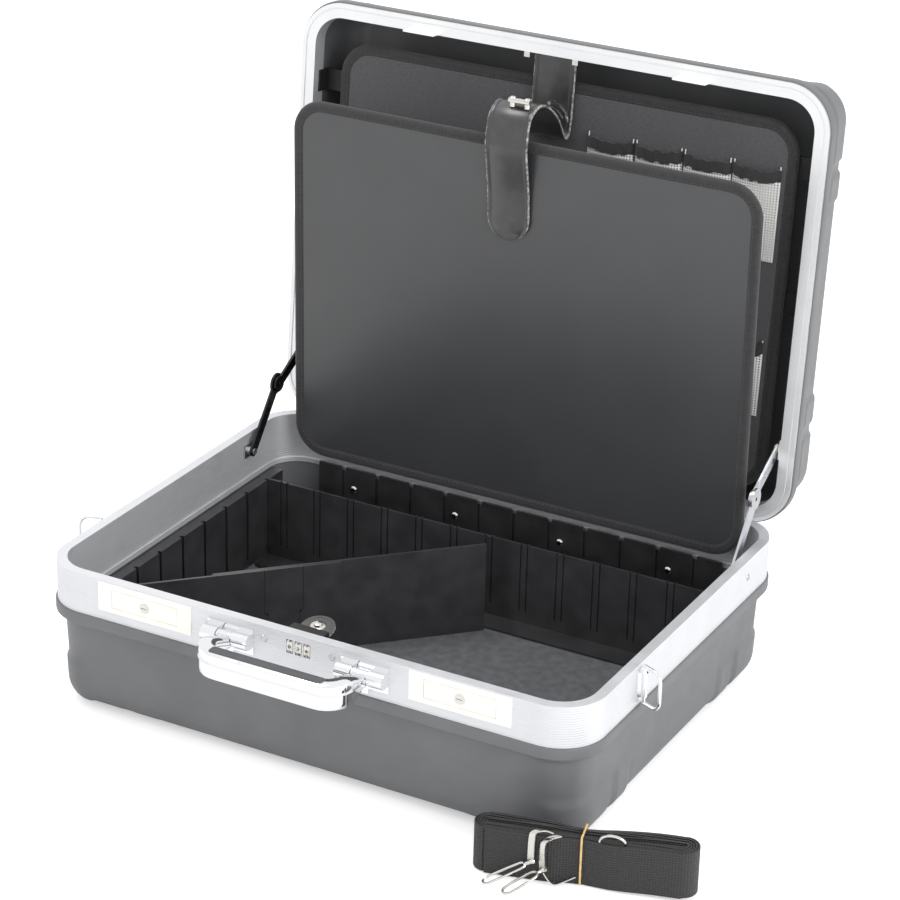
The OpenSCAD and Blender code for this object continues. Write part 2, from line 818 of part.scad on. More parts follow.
insert_w = 96;
module handle_insert() {
    color("#54565a") {
        translate([-insert_w / 2 + 0.1, grip_y - grip_t + 3.1, grip_z + grip_h / 2 - 1.6]) {
            cube([insert_w - 0.2, grip_t - 3.1, 2.2]);
        }
    }
}

// ---------- strap rings ----------

ring_axis_y = front_y + ring_y;
ring_axis_x = side_x + 4;
ring_z = seam_z - 16;
ring_turn = 25;
lug_h = 20;
lug_r = wire_r + 1.2;

// drawn for the right side
module ring_bracket() {
    difference() {
        union() {
            translate([side_x, ring_axis_y - 6, ring_z - 12.5]) cube([1.4, 12, 25]);
            translate([ring_axis_x, ring_axis_y, ring_z - lug_h / 2]) cylinder(h = lug_h, r = lug_r);
            translate([side_x, ring_axis_y - lug_r, ring_z - lug_h / 2]) cube([ring_axis_x - side_x, 2 * lug_r, lug_h]);
        }
        translate([ring_axis_x, ring_axis_y, ring_z - 50]) cylinder(h = 100, r = wire_r + run_fit);
    }
}

module ring_brackets() {
    color("#d6d7da") {
        ring_bracket();
        mirror([1, 0, 0]) ring_bracket();
    }
}

// a D ring of round wire, its straight leg in the bracket
module strap_ring() {
    r = 9;
    straight = ring_h - 2 * r;
    translate([ring_axis_x, ring_axis_y, ring_z]) rotate([0, 0, -ring_turn]) {
        translate([0, 0, -ring_h / 2 + wire_r]) cylinder(h = ring_h - 2 * wire_r, r = wire_r);
        for (s = [-1, 1]) {
            translate([0, 0, s * (ring_h / 2 - wire_r)]) {
                sphere(r = wire_r);
                rotate([0, 90, 0]) cylinder(h = ring_reach - r, r = wire_r);
            }
            translate([ring_reach - r, 0, s * (ring_h / 2 - r)]) rotate([90, s > 0 ? 0 : 90, 0]) {
                rotate_extrude(angle = 90) translate([r - wire_r, 0]) circle(wire_r);
            }
        }
        translate([ring_reach - wire_r, 0, -straight / 2]) cylinder(h = straight, r = wire_r);
    }
}
module strap_ring_right() { color("#d6d7da") strap_ring(); }
module strap_ring_left() { color("#d6d7da") mirror([1, 0, 0]) strap_ring(); }

// ---------- hinges ----------

leaf_t = knuckle_r - hinge_in - collar_out;
mid_knuckle = hinge_len / 3;
hinge_gap = 0.3;

module each_hinge() {
    for (x = [-hinge_x, 0, hinge_x]) translate([x, 0, 0]) children();
}

module knuckle(x, w) {
    translate([x, axis_y, axis_z]) rotate([0, 90, 0]) cylinder(h = w, r = knuckle_r);
}

module pin_hole() {
    translate([-hinge_len, axis_y, axis_z]) rotate([0, 90, 0]) cylinder(h = 2 * hinge_len, r = pin_r + run_fit);
}

module hinge_leaves_base() {
    side_w = (hinge_len - mid_knuckle) / 2 - hinge_gap;
    color("#c4c5c8") each_hinge() difference() {
        union() {
            for (x = [-hinge_len / 2, hinge_len / 2 - side_w]) {
                knuckle(x, side_w);
                translate([x, back_y, axis_z - 9]) cube([side_w, leaf_t, 9]);
            }
            translate([-hinge_len / 2, back_y, axis_z - 18]) cube([hinge_len, leaf_t, 10]);
            for (x = [-14, 14]) {
                translate([x, back_y + leaf_t, axis_z - 13]) rotate([-90, 0, 0]) cylinder(h = 0.8, r1 = 2.6, r2 = 1.8);
            }
        }
        pin_hole();
    }
}

module hinge_leaves_lid() {
    plate_z = seam_z + 1;
    plate_y = back_y + collar_out;
    plate_h = collar_h - 1;
    color("#c4c5c8") on_lid() each_hinge() difference() {
        union() {
            knuckle(-mid_knuckle / 2, mid_knuckle);
            translate([-mid_knuckle / 2, plate_y, axis_z]) cube([mid_knuckle, leaf_t, hinge_drop + 2]);
            translate([-hinge_len / 2, plate_y, plate_z]) cube([hinge_len, leaf_t, plate_h]);
            for (x = [-14, 14]) {
                translate([x, plate_y + leaf_t, plate_z + 5.5]) rotate([-90, 0, 0]) cylinder(h = 0.8, r1 = 2.6, r2 = 1.8);
            }
        }
        pin_hole();
    }
}

module hinge_pins() {
    color("#a9aaad") each_hinge() translate([-hinge_len / 2, axis_y, axis_z]) rotate([0, 90, 0]) {
        translate([0, 0, -0.8]) cylinder(h = 0.8, r = pin_r + 0.7);
        cylinder(h = hinge_len, r = pin_r);
        translate([0, 0, hinge_len]) cylinder(h = 0.8, r = pin_r + 0.7);
    }
}

// ---------- stays ----------

stay_foot = [back_y - 70, seam_z - 15];
stay_top_closed = [back_y - 65, seam_z + 6];
stay_top = to_open(stay_top_closed);
stay_elbow = meet(stay_foot, stay_lower, stay_top, stay_upper);
foot_t = 4;
stay_in = frame_w + foot_t + seat_gap;
pivot_pin_r = 1.8;
elbow_drop = 5;

// pieces are drawn for the left side
module stay_foot_piece() {
    translate([-side_x + frame_w, 0, 0]) {
        translate([0, stay_foot[0] - 7, stay_foot[1] - 6]) cube([1.6, 14, 12]);
        x_cylinder(stay_foot, 4, foot_t);
        x_cylinder(stay_foot, pivot_pin_r, foot_t + seat_gap + stay_t + 0.3);
        translate([foot_t + seat_gap + stay_t + 0.3, 0, 0]) x_cylinder(stay_foot, 3, 1);
    }
}

module stay_lower_piece() {
    translate([-side_x + stay_in, 0, 0]) difference() {
        union() {
            link_bar(stay_foot, stay_elbow, stay_w, stay_t);
            x_cylinder(stay_elbow, elbow_r, stay_t);
        }
        translate([-1, 0, 0]) {
            x_cylinder(stay_foot, pivot_pin_r + run_fit, 10);
            x_cylinder(stay_elbow, pivot_pin_r, 10);
        }
    }
}

// the upper arm carries the elbow's rivet head
module stay_upper_piece() {
    translate([-side_x + stay_in + stay_t + seat_gap, 0, 0]) {
        difference() {
            union() {
                link_bar(stay_elbow, stay_top, stay_w, stay_t);
                x_cylinder(stay_elbow, elbow_r - 2, stay_t);
                translate([stay_t, 0, 0]) x_cylinder(stay_elbow, 3.2, 1.2);
            }
            translate([-1, 0, 0]) x_cylinder(stay_top, pivot_pin_r + run_fit, 10);
        }
    }
}

module stay_lid_bracket() {
    reach = stay_in + stay_t - lid_rim_w;
    p = stay_top_closed;
    translate([-side_x + lid_rim_w, 0, 0]) {
        translate([0, p[0] - 8, p[1] - 4.5]) cube([1.6, 16, 11]);
        x_cylinder(p, 4, reach);
        x_cylinder(p, pivot_pin_r, reach + seat_gap + stay_t + 0.3);
        translate([reach + seat_gap + stay_t + 0.3, 0, 0]) x_cylinder(p, 3, 1);
    }
}

module both_sides() {
    children();
    mirror([1, 0, 0]) children();
}

module stay_feet() { color("#9b9c9f") both_sides() stay_foot_piece(); }
module stay_arm_lower_left() { color("#3c3d40") stay_lower_piece(); }
module stay_arm_lower_right() { color("#c9cacc") mirror([1, 0, 0]) stay_lower_piece(); }
module stay_arm_upper_left() { color("#3c3d40") stay_upper_piece(); }
module stay_arm_upper_right() { color("#c9cacc") mirror([1, 0, 0]) stay_upper_piece(); }
module stay_lid_brackets() { color("#dcdde0") on_lid() both_sides() stay_lid_bracket(); }

// ---------- lid frame ----------

module lid_frame_section() {
    difference() {
        union() {
            square([lid_rim_w, lid_lip]);
            translate([lid_rim_w - frame_t, 0]) square([frame_t, lid_rim_h]);
        }
        // seal groove in the face
        translate([3.4, -1]) square([1.2, 1.8]);
    }
}

module lid_frame() {
    color("#dcdde0") on_lid() translate([0, 0, seam_z + lid_gap]) ring(case_w, case_d, corner_r) lid_frame_section();
}

keeper_y = front_y + lid_rim_w;
module strap_keeper() {
    color("#d6d7da") on_lid() translate([strap_x, keeper_y, seam_z + 3]) {
        for (s = [-1, 1]) translate([s * (strap_w / 2 + 3) - 2.5, 0, 0]) {
            cube([5, 1.2, 9]);
            translate([0, 0, 0]) cube([5, 5, 1.2]);
        }
    }
}

// ---------- tool boards ----------

rear_front = 15;
rear_w = case_w - 58;
rear_top = front_y + 34;
rear_bottom = back_y - 20;
rear_l = rear_bottom - rear_top;
core_t = 4;
binding_w = 9;

// a bound board lies in its own plane: x across, y down from its top edge, z towards its back
module board_core(w, l, r, t) {
    translate([0, l / 2, (board_t - t) / 2]) round_plate(w - 2 * binding_w, l - 2 * binding_w, r - binding_w, t);
}

module board_binding(w, l, r) {
    translate([0, l / 2, 0]) ring(w, l, r) {
        translate([0.8, 0]) square([binding_w - 0.8, board_t]);
        translate([0, 0.8]) square([1, board_t - 1.6]);
    }
}

module at_rear_board() {
    on_lid() translate([0, rear_top, seam_z + rear_front]) children();
}

module rear_tool_board() { color("#38393c") at_rear_board() board_core(rear_w, rear_l, board_r, core_t); }
module rear_board_binding() { color("#2a2a2c") at_rear_board() board_binding(rear_w, rear_l, board_r); }

// brackets from the lid frame's inner wall to the back of the rear board
module board_brackets() {
    color("#1d1d1f") on_lid() both_sides() for (y = [-110, 0]) {
        translate([-side_x + lid_rim_w, y - 9, seam_z + rear_front - 7]) {
            cube([1.4, 18, board_t + 8.6]);
            translate([0, 0, board_t + 7.2]) cube([side_x - lid_rim_w - rear_w / 2 + 14, 18, 1.4]);
        }
    }
}

// net pouches on the rear board, right of the closing strap: each row's distance from the top edge and height
pocket_rows = [[40, 74], [182, 60]];
pockets_across = 4;
pocket_t = 2.4;
module tool_pockets() {
    from = strap_x + strap_w / 2 + 13.5;
    to = rear_w / 2 - binding_w - 2.5;
    pitch = (to - from) / pockets_across;
    color("#8b8d90") at_rear_board() for (row = pocket_rows, i = [0:pockets_across - 1]) {
        translate([from + i * pitch + 1, row[0], (board_t - core_t) / 2 - pocket_t]) {
            cube([pitch - 2, row[1], pocket_t]);
        }
    }
}

// the front board hangs on a strip: bar on the lid, strip, board
strip_w = 300;
strip_t = 1.6;
board_play = 1.2;
board_foot = 1.6;
front_face = 3;
strip_pivot = [back_y - lid_rim_w - board_play - 3.2, seam_z + front_face + board_t + 1.1];
strip_len = seam_up - board_foot;
strip_turn = 106;
board_lean = 5.9;
// seam of strip and board, and the board's lower edge, on the closed lid's axes but in the open pose
strip_end = strip_pivot + strip_len * [cos(180 + strip_turn), sin(180 + strip_turn)];
board_up = [-cos(board_lean), -sin(board_lean)];
board_back = [-sin(board_lean), cos(board_lean)];
board_low = strip_end - board_up * seam_up - board_back * (board_t + 1.1);

module board_hinge_bar() {
    color("#1d1d1f") on_lid() {
        translate([-strip_w / 2, strip_pivot[0] + strip_t / 2 + seat_gap, strip_pivot[1] - 0.7]) {
            cube([strip_w, back_y - lid_rim_w - strip_pivot[0] - strip_t / 2 - seat_gap, 5]);
        }
    }
}

module board_hinge_strip() {
    color("#1d1d1f") on_lid() translate([-strip_w / 2, 0, 0]) link_bar(strip_pivot, strip_end, strip_t, strip_w);
}

// places a board drawn with its top edge at y = 0 and its front at z = 0 into its hanging pose
module at_front_board() {
    on_lid() translate([0, board_low[0], board_low[1]]) rotate([atan2(board_up[1], board_up[0]) + 180, 0, 0]) {
        translate([0, -board_l, 0]) children();
    }
}

// the board carries a batten on its back, to which the strip is sewn
module front_tool_board() {
    color("#2e2f32") at_front_board() {
        board_core(board_w, board_l, board_r, core_t);
        translate([-strip_w / 2, board_l - seam_up - 4, board_t / 2]) cube([strip_w, 8, board_t / 2]);
    }
}
module front_board_binding() { color("#2a2a2c") at_front_board() board_binding(board_w, board_l, board_r); }

// ---------- closing strap ----------

strap_x = -7;
tail_l = 84;
rear_strap_l = 62;
strap_face = seam_z + rear_front - 1 - 0.3;
fold_back = 1.9;

// the tail on the front board's face, with its fold over the board's top edge
module closing_strap_tail() {
    away = seat_gap + strap_t;
    color("#161617") at_front_board() {
        translate([strap_x - strap_w / 2, -away, -away]) cube([strap_w, tail_l - strap_w / 2 + away, strap_t]);
        translate([strap_x - strap_w / 2, -away, -away]) cube([strap_w, strap_t, away + board_t + fold_back]);
        translate([strap_x, tail_l - strap_w / 2, -away]) cylinder(h = strap_t, r = strap_w / 2);
    }
}

// the strap's lid half, from the lid's front wall down the rear board
module closing_strap() {
    color("#161617") on_lid() translate([strap_x - strap_w / 2, front_y + lid_rim_w + seat_gap, strap_face - strap_t]) {
        cube([strap_w, rear_strap_l, strap_t]);
    }
}

module strap_studs() {
    color("#c9cacc") on_lid() for (down = [22, 48]) {
        translate([strap_x, front_y + lid_rim_w + down, strap_face - strap_t]) rotate([180, 0, 0]) {
            cylinder(h = 0.8, r = 6.5);
            translate([0, 0, 0.8]) cylinder(h = 0.8, r1 = 4, r2 = 3.2);
        }
    }
}

// ---------- shoulder strap ----------

bundle_at = [242, -192];
bundle_turn = 15;

module at_bundle() {
    translate([bundle_at[0], bundle_at[1], 0]) rotate([0, 0, bundle_turn]) children();
}

module shoulder_strap() {
    color("#1b1b1c") at_bundle() translate([0, 0, seat_gap]) linear_extrude(webbing_w) {
        square([bundle_l - bundle_t, bundle_t], center = true);
        for (s = [-1, 1]) translate([s * (bundle_l - bundle_t) / 2, 0]) circle(bundle_t / 2);
    }
}

// two snap hooks lying against the bundle's front
module shoulder_strap_hooks() {
    color("#c9cacc") at_bundle() for (i = [0, 1]) {
        translate([-62 + 20 * i, -bundle_t / 2 - 2.5 - seat_gap, 19.5 + 5 * i]) rotate([0, 35 + 10 * i, 0]) {
            rotate([90, 0, 0]) translate([0, 0, -2.5]) linear_extrude(5) difference() {
                union() {
                    square([30, 13], center = true);
                    for (s = [-1, 1]) translate([15 * s, 0]) circle(6.5);
                }
                square([28, 6], center = true);
            }
        }
    }
}

lower_shell();
base_frame();
base_mat();
back_liner();
liner_rivets();
left_liner();
right_liner();
front_liner();
middle_divider();
diagonal_divider_front();
diagonal_divider_rear();
document_tab();
tab_stud();
latch_plate_left();
latch_plate_right();
latch_flap_left();
latch_flap_right();
latch_barrel_left();
latch_barrel_right();
latch_bolt_left();
latch_bolt_right();
lock_housing();
lock_axle();
lock_wheel_1();
lock_wheel_2();
lock_wheel_3();
frame_rivets();
handle_brackets();
handle_pins();
handle_bar();
handle_insert();
ring_brackets();
strap_ring_left();
strap_ring_right();
hinge_leaves_base();
hinge_leaves_lid();
hinge_pins();
stay_feet();
stay_arm_lower_left();
stay_arm_lower_right();
stay_arm_upper_left();
stay_arm_upper_right();
stay_lid_brackets();
lid_shell();
lid_frame();
lid_catches();
strap_keeper();
rear_tool_board();
rear_board_binding();
board_brackets();
tool_pockets();
board_hinge_bar();
board_hinge_strip();
front_tool_board();
front_board_binding();
closing_strap();
closing_strap_tail();
strap_studs();
shoulder_strap();
shoulder_strap_hooks();
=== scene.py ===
import json
import math
import random

import bmesh
import bpy
from mathutils import Matrix, Vector


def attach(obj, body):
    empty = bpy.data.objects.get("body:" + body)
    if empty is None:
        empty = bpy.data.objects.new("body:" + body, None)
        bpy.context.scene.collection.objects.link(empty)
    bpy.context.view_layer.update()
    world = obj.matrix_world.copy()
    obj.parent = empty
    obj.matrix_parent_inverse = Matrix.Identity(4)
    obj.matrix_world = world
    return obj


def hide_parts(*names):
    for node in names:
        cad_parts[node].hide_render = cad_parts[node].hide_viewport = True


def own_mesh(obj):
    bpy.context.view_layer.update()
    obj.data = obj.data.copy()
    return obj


bl_info = {
    "name": "Open tool case",
    "version": (1, 0, 0),
    "blender": (4, 5, 0),
    "location": "3D View > Sidebar > Tool case",
    "description": "Builds the finishes and soft parts of an open hard tool case over its solid frame",
    "category": "Object",
}

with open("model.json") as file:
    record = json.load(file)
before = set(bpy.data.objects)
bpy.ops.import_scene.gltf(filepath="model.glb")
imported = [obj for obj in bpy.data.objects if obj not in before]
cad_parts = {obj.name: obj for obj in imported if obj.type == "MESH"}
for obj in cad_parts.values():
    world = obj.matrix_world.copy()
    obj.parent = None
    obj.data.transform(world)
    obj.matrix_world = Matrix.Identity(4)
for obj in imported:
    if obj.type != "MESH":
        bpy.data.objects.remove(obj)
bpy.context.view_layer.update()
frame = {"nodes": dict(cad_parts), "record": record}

# ---------- sizes shared with the solids, in millimetres ----------

CASE_W, CASE_D, BASE_H, LID_H, CORNER_R = 470, 360, 124, 68, 37
FRONT, BACK, SIDE, SEAM = -CASE_D / 2, CASE_D / 2, CASE_W / 2, BASE_H
FRAME_Z = SEAM - 33.5
AXIS_Y, AXIS_Z, LID_OPEN = BACK - 0.5, SEAM - 4, 95
COLLAR_OUT, COLLAR_H, WALL_IN, WALL_LOW, EDGE_R, SHELL_T = 1.5, 11, 6, 8.5, 20, 3
FRAME_IN, FLAT_FROM, FLAT_TO = 3.5, 33, 36.5
PAD_LEN, PAD_H = 66, 2
LID_RIM_W = 12.2
BOARD_W, BOARD_L, BOARD_T, BOARD_R = CASE_W - 53, 318, 6, 28
SEAM_UP, STRIP_L, STRIP_TURN, BOARD_LEAN = 33.6, 32, 106, 5.9
REAR_W, REAR_L = 412, 306
# the boards' edge stitching, inward from the edge
SEAM_IN = 7.1
# net pouches: each row's distance from the rear board's top edge and height, and how many lie across
POCKET_ROWS, POCKETS = ((40, 74), (182, 60)), 4
STRAP_X, STRAP_W, STRAP_T = -7, 37, 2.4
TAIL_L, TAB_TILT = 84, 8
# where the rubber band holds the folded strap, along it
BAND_X = 2.9


def shift(x, y, z):
    return Matrix.Translation((x, y, z))


def turn(degrees, axis):
    return Matrix.Rotation(math.radians(degrees), 4, axis)


# places of the groups that don't lie along the case's own axes
HERE = Matrix.Identity(4)
LID = shift(0, AXIS_Y, AXIS_Z) @ turn(-LID_OPEN, "X") @ shift(0, -AXIS_Y, -AXIS_Z)
REAR_BOARD = LID @ shift(0, FRONT + 34, SEAM + 15)


def front_board_place():
    """The hanging front board: x across, y down from its top edge, z towards its back."""
    pivot = Vector((BACK - LID_RIM_W - 4.4, SEAM + 3 + BOARD_T + 1.1))
    a = math.radians(180 + STRIP_TURN)
    seam = pivot + STRIP_L * Vector((math.cos(a), math.sin(a)))
    lean = math.radians(BOARD_LEAN)
    up = Vector((-math.cos(lean), -math.sin(lean)))
    back = Vector((-math.sin(lean), math.cos(lean)))
    foot = seam - up * SEAM_UP - back * (BOARD_T + 1.1)
    tilt = math.degrees(math.atan2(up.y, up.x)) + 180
    return LID @ shift(0, foot.x, foot.y) @ turn(tilt, "X") @ shift(0, -BOARD_L, 0)


FRONT_BOARD = front_board_place()
BUNDLE = shift(242, -192, 0) @ turn(15, "Z")

# ---------- shapes ----------


def srgb(code):
    """Turns an sRGB hex value into a linear colour."""
    parts = [int(code[i : i + 2], 16) / 255 for i in (1, 3, 5)]
    return tuple(v / 12.92 if v <= 0.04045 else ((v + 0.055) / 1.055) ** 2.4 for v in parts)


def ease(t):
    """0 to 1 with soft ends."""
    t = min(max(t, 0.0), 1.0)
    return t * t * (3 - 2 * t)


def stations(w, d, r, step, turns=12):
    """Points round a rounded rectangle, each with its inward direction."""
    found = []
    for cx, cy, a0 in ((1, -1, -90), (1, 1, 0), (-1, 1, 90), (-1, -1, 180)):
        centre = Vector((cx * (w / 2 - r), cy * (d / 2 - r)))
        for i in range(turns + 1):
            a = math.radians(a0 + 90 * i / turns)
            out = Vector((math.cos(a), math.sin(a)))
            found.append((centre + r * out, -out))
        straight = (d if cx == cy * -1 else w) - 2 * r
        out = -found[-1][1]
        along = Vector((-out.y, out.x))
        n = max(1, round(straight / step))
        for i in range(1, n):
            found.append((found[-1][0] + along * (straight / n), -out))
    return found


def softened(points, radius, steps=3):
    """A 2D line with each inner corner rounded."""
    out = [points[0]]
    for a, b, c in zip(points, points[1:], points[2:]):
        a, b, c = Vector(a), Vector(b), Vector(c)
        r = min(radius, (a - b).length * 0.45, (c - b).length * 0.45)
        p, q = b + (a - b).normalized() * r, b + (c - b).normalized() * r
        for i in range(steps + 1):
            t = i / steps
            out.append(tuple(p * (1 - t) ** 2 + b * 2 * t * (1 - t) + q * t * t))
    out.append(points[-1])
    return out


def arc(cx, cy, r, a0, a1, n=8):
    """Points on an arc, angles in degrees."""
    angles = [math.radians(a0 + (a1 - a0) * i / n) for i in range(n + 1)]
    return [(cx + r * math.cos(a), cy + r * math.sin(a)) for a in angles]


def round_rect(w, h, r, n=5):
    """Outline of a rounded rectangle about the origin."""
    r = min(r, w / 2 - 0.01, h / 2 - 0.01)
    out = []
    for sx, sy, a in ((1, -1, -90), (1, 1, 0), (-1, 1, 90), (-1, -1, 180)):
        out += arc(sx * (w / 2 - r), sy * (h / 2 - r), r, a, a + 90, n)
    return out


class Shape:
    """Gathers the parts of one piece, in millimetres, with lengths along the surface as its UVs."""

    def __init__(self):
        self.points, self.faces, self.uvs, self.slots = [], [], [], []

    def grid(self, rings, loop=True, closed=False, caps=False, slot=0):
        """A surface through rings of points; loop joins last and first ring, closed each ring's ends."""
        nu, nv, base = len(rings), len(rings[0]), len(self.points)
        self.points += [Vector(p) for ring in rings for p in ring]
        us, vs = [0.0], [0.0]
        for i in range(nu):
            us.append(us[-1] + (Vector(rings[i][0]) - Vector(rings[(i + 1) % nu][0])).length)
        for j in range(nv):
            vs.append(vs[-1] + (Vector(rings[0][j]) - Vector(rings[0][(j + 1) % nv])).length)
        for i in range(nu if loop else nu - 1):
            for j in range(nv if closed else nv - 1):
                k, m = (i + 1) % nu, (j + 1) % nv
                self.faces.append([base + row * nv + col for row, col in ((i, j), (k, j), (k, m), (i, m))])
                self.uvs.append([(us[i + x], vs[j + y]) for x, y in ((0, 0), (1, 0), (1, 1), (0, 1))])
                self.slots.append(slot)
        if caps:
            ends = [[base + j for j in range(nv)], [base + (nu - 1) * nv + j for j in range(nv)][::-1]]
            if loop:
                ends = [[base + i * nv for i in range(nu)], [base + i * nv + nv - 1 for i in range(nu)][::-1]]
            for end in ends:
                self.faces.append(end)
                self.uvs.append([(self.points[e].x, self.points[e].y) for e in end])
                self.slots.append(slot)
        return self

    def plate(self, outline, low, high, edge=0.4, place=HERE, slot=0):
        """An outline raised from low to high, with softened edges."""
        n = len(outline)
        pts = [Vector(p) for p in outline]
        normals = []
        for i in range(n):
            a, b = (pts[i] - pts[i - 1]), (pts[(i + 1) % n] - pts[i])
            na = Vector((a.y, -a.x)).normalized() if a.length else Vector((0, 0))
            nb = Vector((b.y, -b.x)).normalized() if b.length else na
            normals.append((na + nb).normalized() if (na + nb).length else nb)
        layers = [(low, edge), (low + 0.3 * edge, 0.3 * edge), (low + edge, 0)]
        layers += [(high - edge, 0), (high - 0.3 * edge, 0.3 * edge), (high, edge)]
        rings = [[place @ Vector((*(p - m * inset), z)) for p, m in zip(pts, normals)] for z, inset in layers]
        return self.grid(rings, loop=False, closed=True, caps=True, slot=slot)

    def block(self, low, high, edge=0.4, place=HERE, slot=0):
        """A box between two corners, with softened edges."""
        size = [h - l for l, h in zip(low, high)]
        edge = min(edge, min(size) * 0.45)
        middle = shift((low[0] + high[0]) / 2, (low[1] + high[1]) / 2, 0)
        return self.plate(round_rect(size[0], size[1], edge, 2), low[2], high[2], edge, place @ middle, slot)

    def turned(self, profile, place=HERE, n=32, slot=0):
        """A profile of (radius, height) turned about Z."""
        rings = []
        for i in range(n):
            a = 2 * math.pi * i / n
            rings.append([place @ Vector((r * math.cos(a), r * math.sin(a), z)) for r, z in profile])
        return self.grid(rings, loop=True, caps=True, slot=slot)

    def sweep(self, path, section, side=None, loop=False, slot=0):
        """A closed 2D section carried along a path. side holds its first axis, else it turns little."""
        path = [Vector(p) for p in path]
        n, rings, last = len(path), [], None
        for i in range(n):
            ahead = path[(i + 1) % n] if loop or i < n - 1 else path[i]
            behind = path[i - 1] if loop or i > 0 else path[i]
            along = (ahead - behind).normalized()
            if side is not None:
                across = Vector(side)
            elif last is None:
                across = along.orthogonal().normalized()
            else:
                across = (last - along * last.dot(along)).normalized()
            last = across
            up = along.cross(across).normalized()
            rings.append([path[i] + across * a + up * b for a, b in section])
        return self.grid(rings, loop=loop, closed=True, caps=not loop, slot=slot)

    def tube(self, path, radius, n=12, loop=False, slot=0):
        """Round wire along a path."""
        angles = [2 * math.pi * i / n for i in range(n)]
        ring = [(radius * math.cos(a), radius * math.sin(a)) for a in angles]
        return self.sweep(path, ring, loop=loop, slot=slot)

    def lay_flat(self):
        """Takes the UVs of all faces so far from their x and y."""
        self.uvs = [[(self.points[v].x, self.points[v].y) for v in face] for face in self.faces]

    def add(self, other):
        """Takes over another shape's faces."""
        base = len(self.points)
        self.points += other.points
        self.faces += [[base + v for v in face] for face in other.faces]
        self.uvs += other.uvs
        self.slots += other.slots

    def letters(self, word, size, place, slot=0):
        """Raised plain figures, such as the numbers on a dial."""
        curve = bpy.data.curves.new("figure", "FONT")
        curve.body, curve.size, curve.extrude = word, size, 0.12
        curve.align_x, curve.align_y = "CENTER", "CENTER"
        carrier = bpy.data.objects.new("figure", curve)
        bpy.context.scene.collection.objects.link(carrier)
        found = carrier.evaluated_get(bpy.context.evaluated_depsgraph_get()).to_mesh()
        base = len(self.points)
        self.points += [place @ v.co for v in found.vertices]
        for p in found.polygons:
            self.faces.append([base + v for v in p.vertices])
            self.uvs.append([(0, 0)] * len(p.vertices))
            self.slots.append(slot)
        bpy.data.objects.remove(carrier)
        bpy.data.curves.remove(curve)
        return self


def piece(name, shape, skins, body, place=HERE, stands_for=(), smooth=35):
    """Makes the object, in metres, gives it its finishes by short name and ties it to its body."""
    mesh = bpy.data.meshes.new(name)
    mesh.from_pydata([tuple(p * 0.001) for p in shape.points], [], shape.faces)
    layer = mesh.uv_layers.new(name="lengths")
    flat = [c * 0.001 for face in shape.uvs for uv in face for c in uv]
    layer.data.foreach_set("uv", flat)
    for short in skins:
        mesh.materials.append(MATERIALS[short])
    mesh.polygons.foreach_set("material_index", shape.slots)
    bm = bmesh.new()
    bm.from_mesh(mesh)
    bmesh.ops.recalc_face_normals(bm, faces=bm.faces)
    bm.to_mesh(mesh)
    bm.free()
    mesh.shade_smooth()
    mesh.set_sharp_from_angle(angle=math.radians(smooth))
    made = bpy.data.objects.new(name, mesh)
    bpy.context.scene.collection.objects.link(made)
    world = place.copy()
    world.translation *= 0.001
    made.matrix_world = world
    if body:
        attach(made, body)
    if stands_for:
        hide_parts(*stands_for)
    return made


# ---------- materials ----------


def add_node(mat, kind, settings=None, inputs=None):
    """Adds one node with its settings; an input is a value, or a (node, output) pair that is linked to it."""
    node = mat.node_tree.nodes.new("ShaderNode" + kind)
    for key, value in (settings or {}).items():
        setattr(node, key, value)
    for key, value in (inputs or {}).items():
        if isinstance(value, tuple) and hasattr(value[0], "outputs"):
            mat.node_tree.links.new(value[0].outputs[value[1]], node.inputs[key])
        else:
            node.inputs[key].default_value = value
    return node


def start_material(name, colour, rough, metal=0.0, ior=1.5):
    """An empty material with its main shader; returns the material and the shader."""
    mat = bpy.data.materials.new(name)
    mat.use_nodes = True
    mat.node_tree.nodes.clear()
    inputs = {"Base Color": (*colour, 1), "Roughness": rough, "Metallic": metal}
    if not metal:
        inputs["IOR"] = ior
    shader = add_node(mat, "BsdfPrincipled", None, inputs)
    add_node(mat, "OutputMaterial", None, {"Surface": (shader, "BSDF")})
    mat.diffuse_color = (*colour, 1)
    return mat, shader


def place_texture(mat, mm, coords="Object", stretch=(1, 1, 1), rotate=(0, 0, 0)):
    """Texture places in which one unit is mm millimetres."""
    where = add_node(mat, "TexCoord")
    scale = [1000 / mm * s for s in stretch]
    return add_node(mat, "Mapping", None, {"Vector": (where, coords), "Scale": scale, "Rotation": rotate})


def two_tone(mat, shader, height, first, second):
    """Colours the surface by a height field, between two (height, colour) stops."""
    ramp = add_node(mat, "ValToRGB", None, {"Fac": height})
    for stop, (at, colour) in zip(ramp.color_ramp.elements, (first, second)):
        stop.position = at
        stop.color = (*colour, 1)
    mat.node_tree.links.new(ramp.outputs["Color"], shader.inputs["Base Color"])


def vary_colour(mat, shader, colour, by, mm, coords="Object", stretch=(1, 1, 1)):
    """Cloudy light and dark patches of the colour, mm across."""
    where = place_texture(mat, mm, coords, stretch)
    cloud = add_node(mat, "TexNoise", None, {"Vector": (where, "Vector"), "Scale": 1.0, "Detail": 4.0})
    dark = [c * (1 - by) for c in colour]
    light = [min(1, c * (1 + by)) for c in colour]
    two_tone(mat, shader, (cloud, "Fac"), (0.35, dark), (0.65, light))


def raise_surface(mat, shader, height, mm_high):
    """Bumps the surface by a height field, mm_high from its lowest to its highest point."""
    inputs = {"Height": height, "Distance": mm_high * 0.001, "Strength": 1.0}
    before = shader.inputs["Normal"].links
    if before:
        inputs["Normal"] = (before[0].from_node, before[0].from_socket.name)
    bump = add_node(mat, "Bump", None, inputs)
    mat.node_tree.links.new(bump.outputs["Normal"], shader.inputs["Normal"])


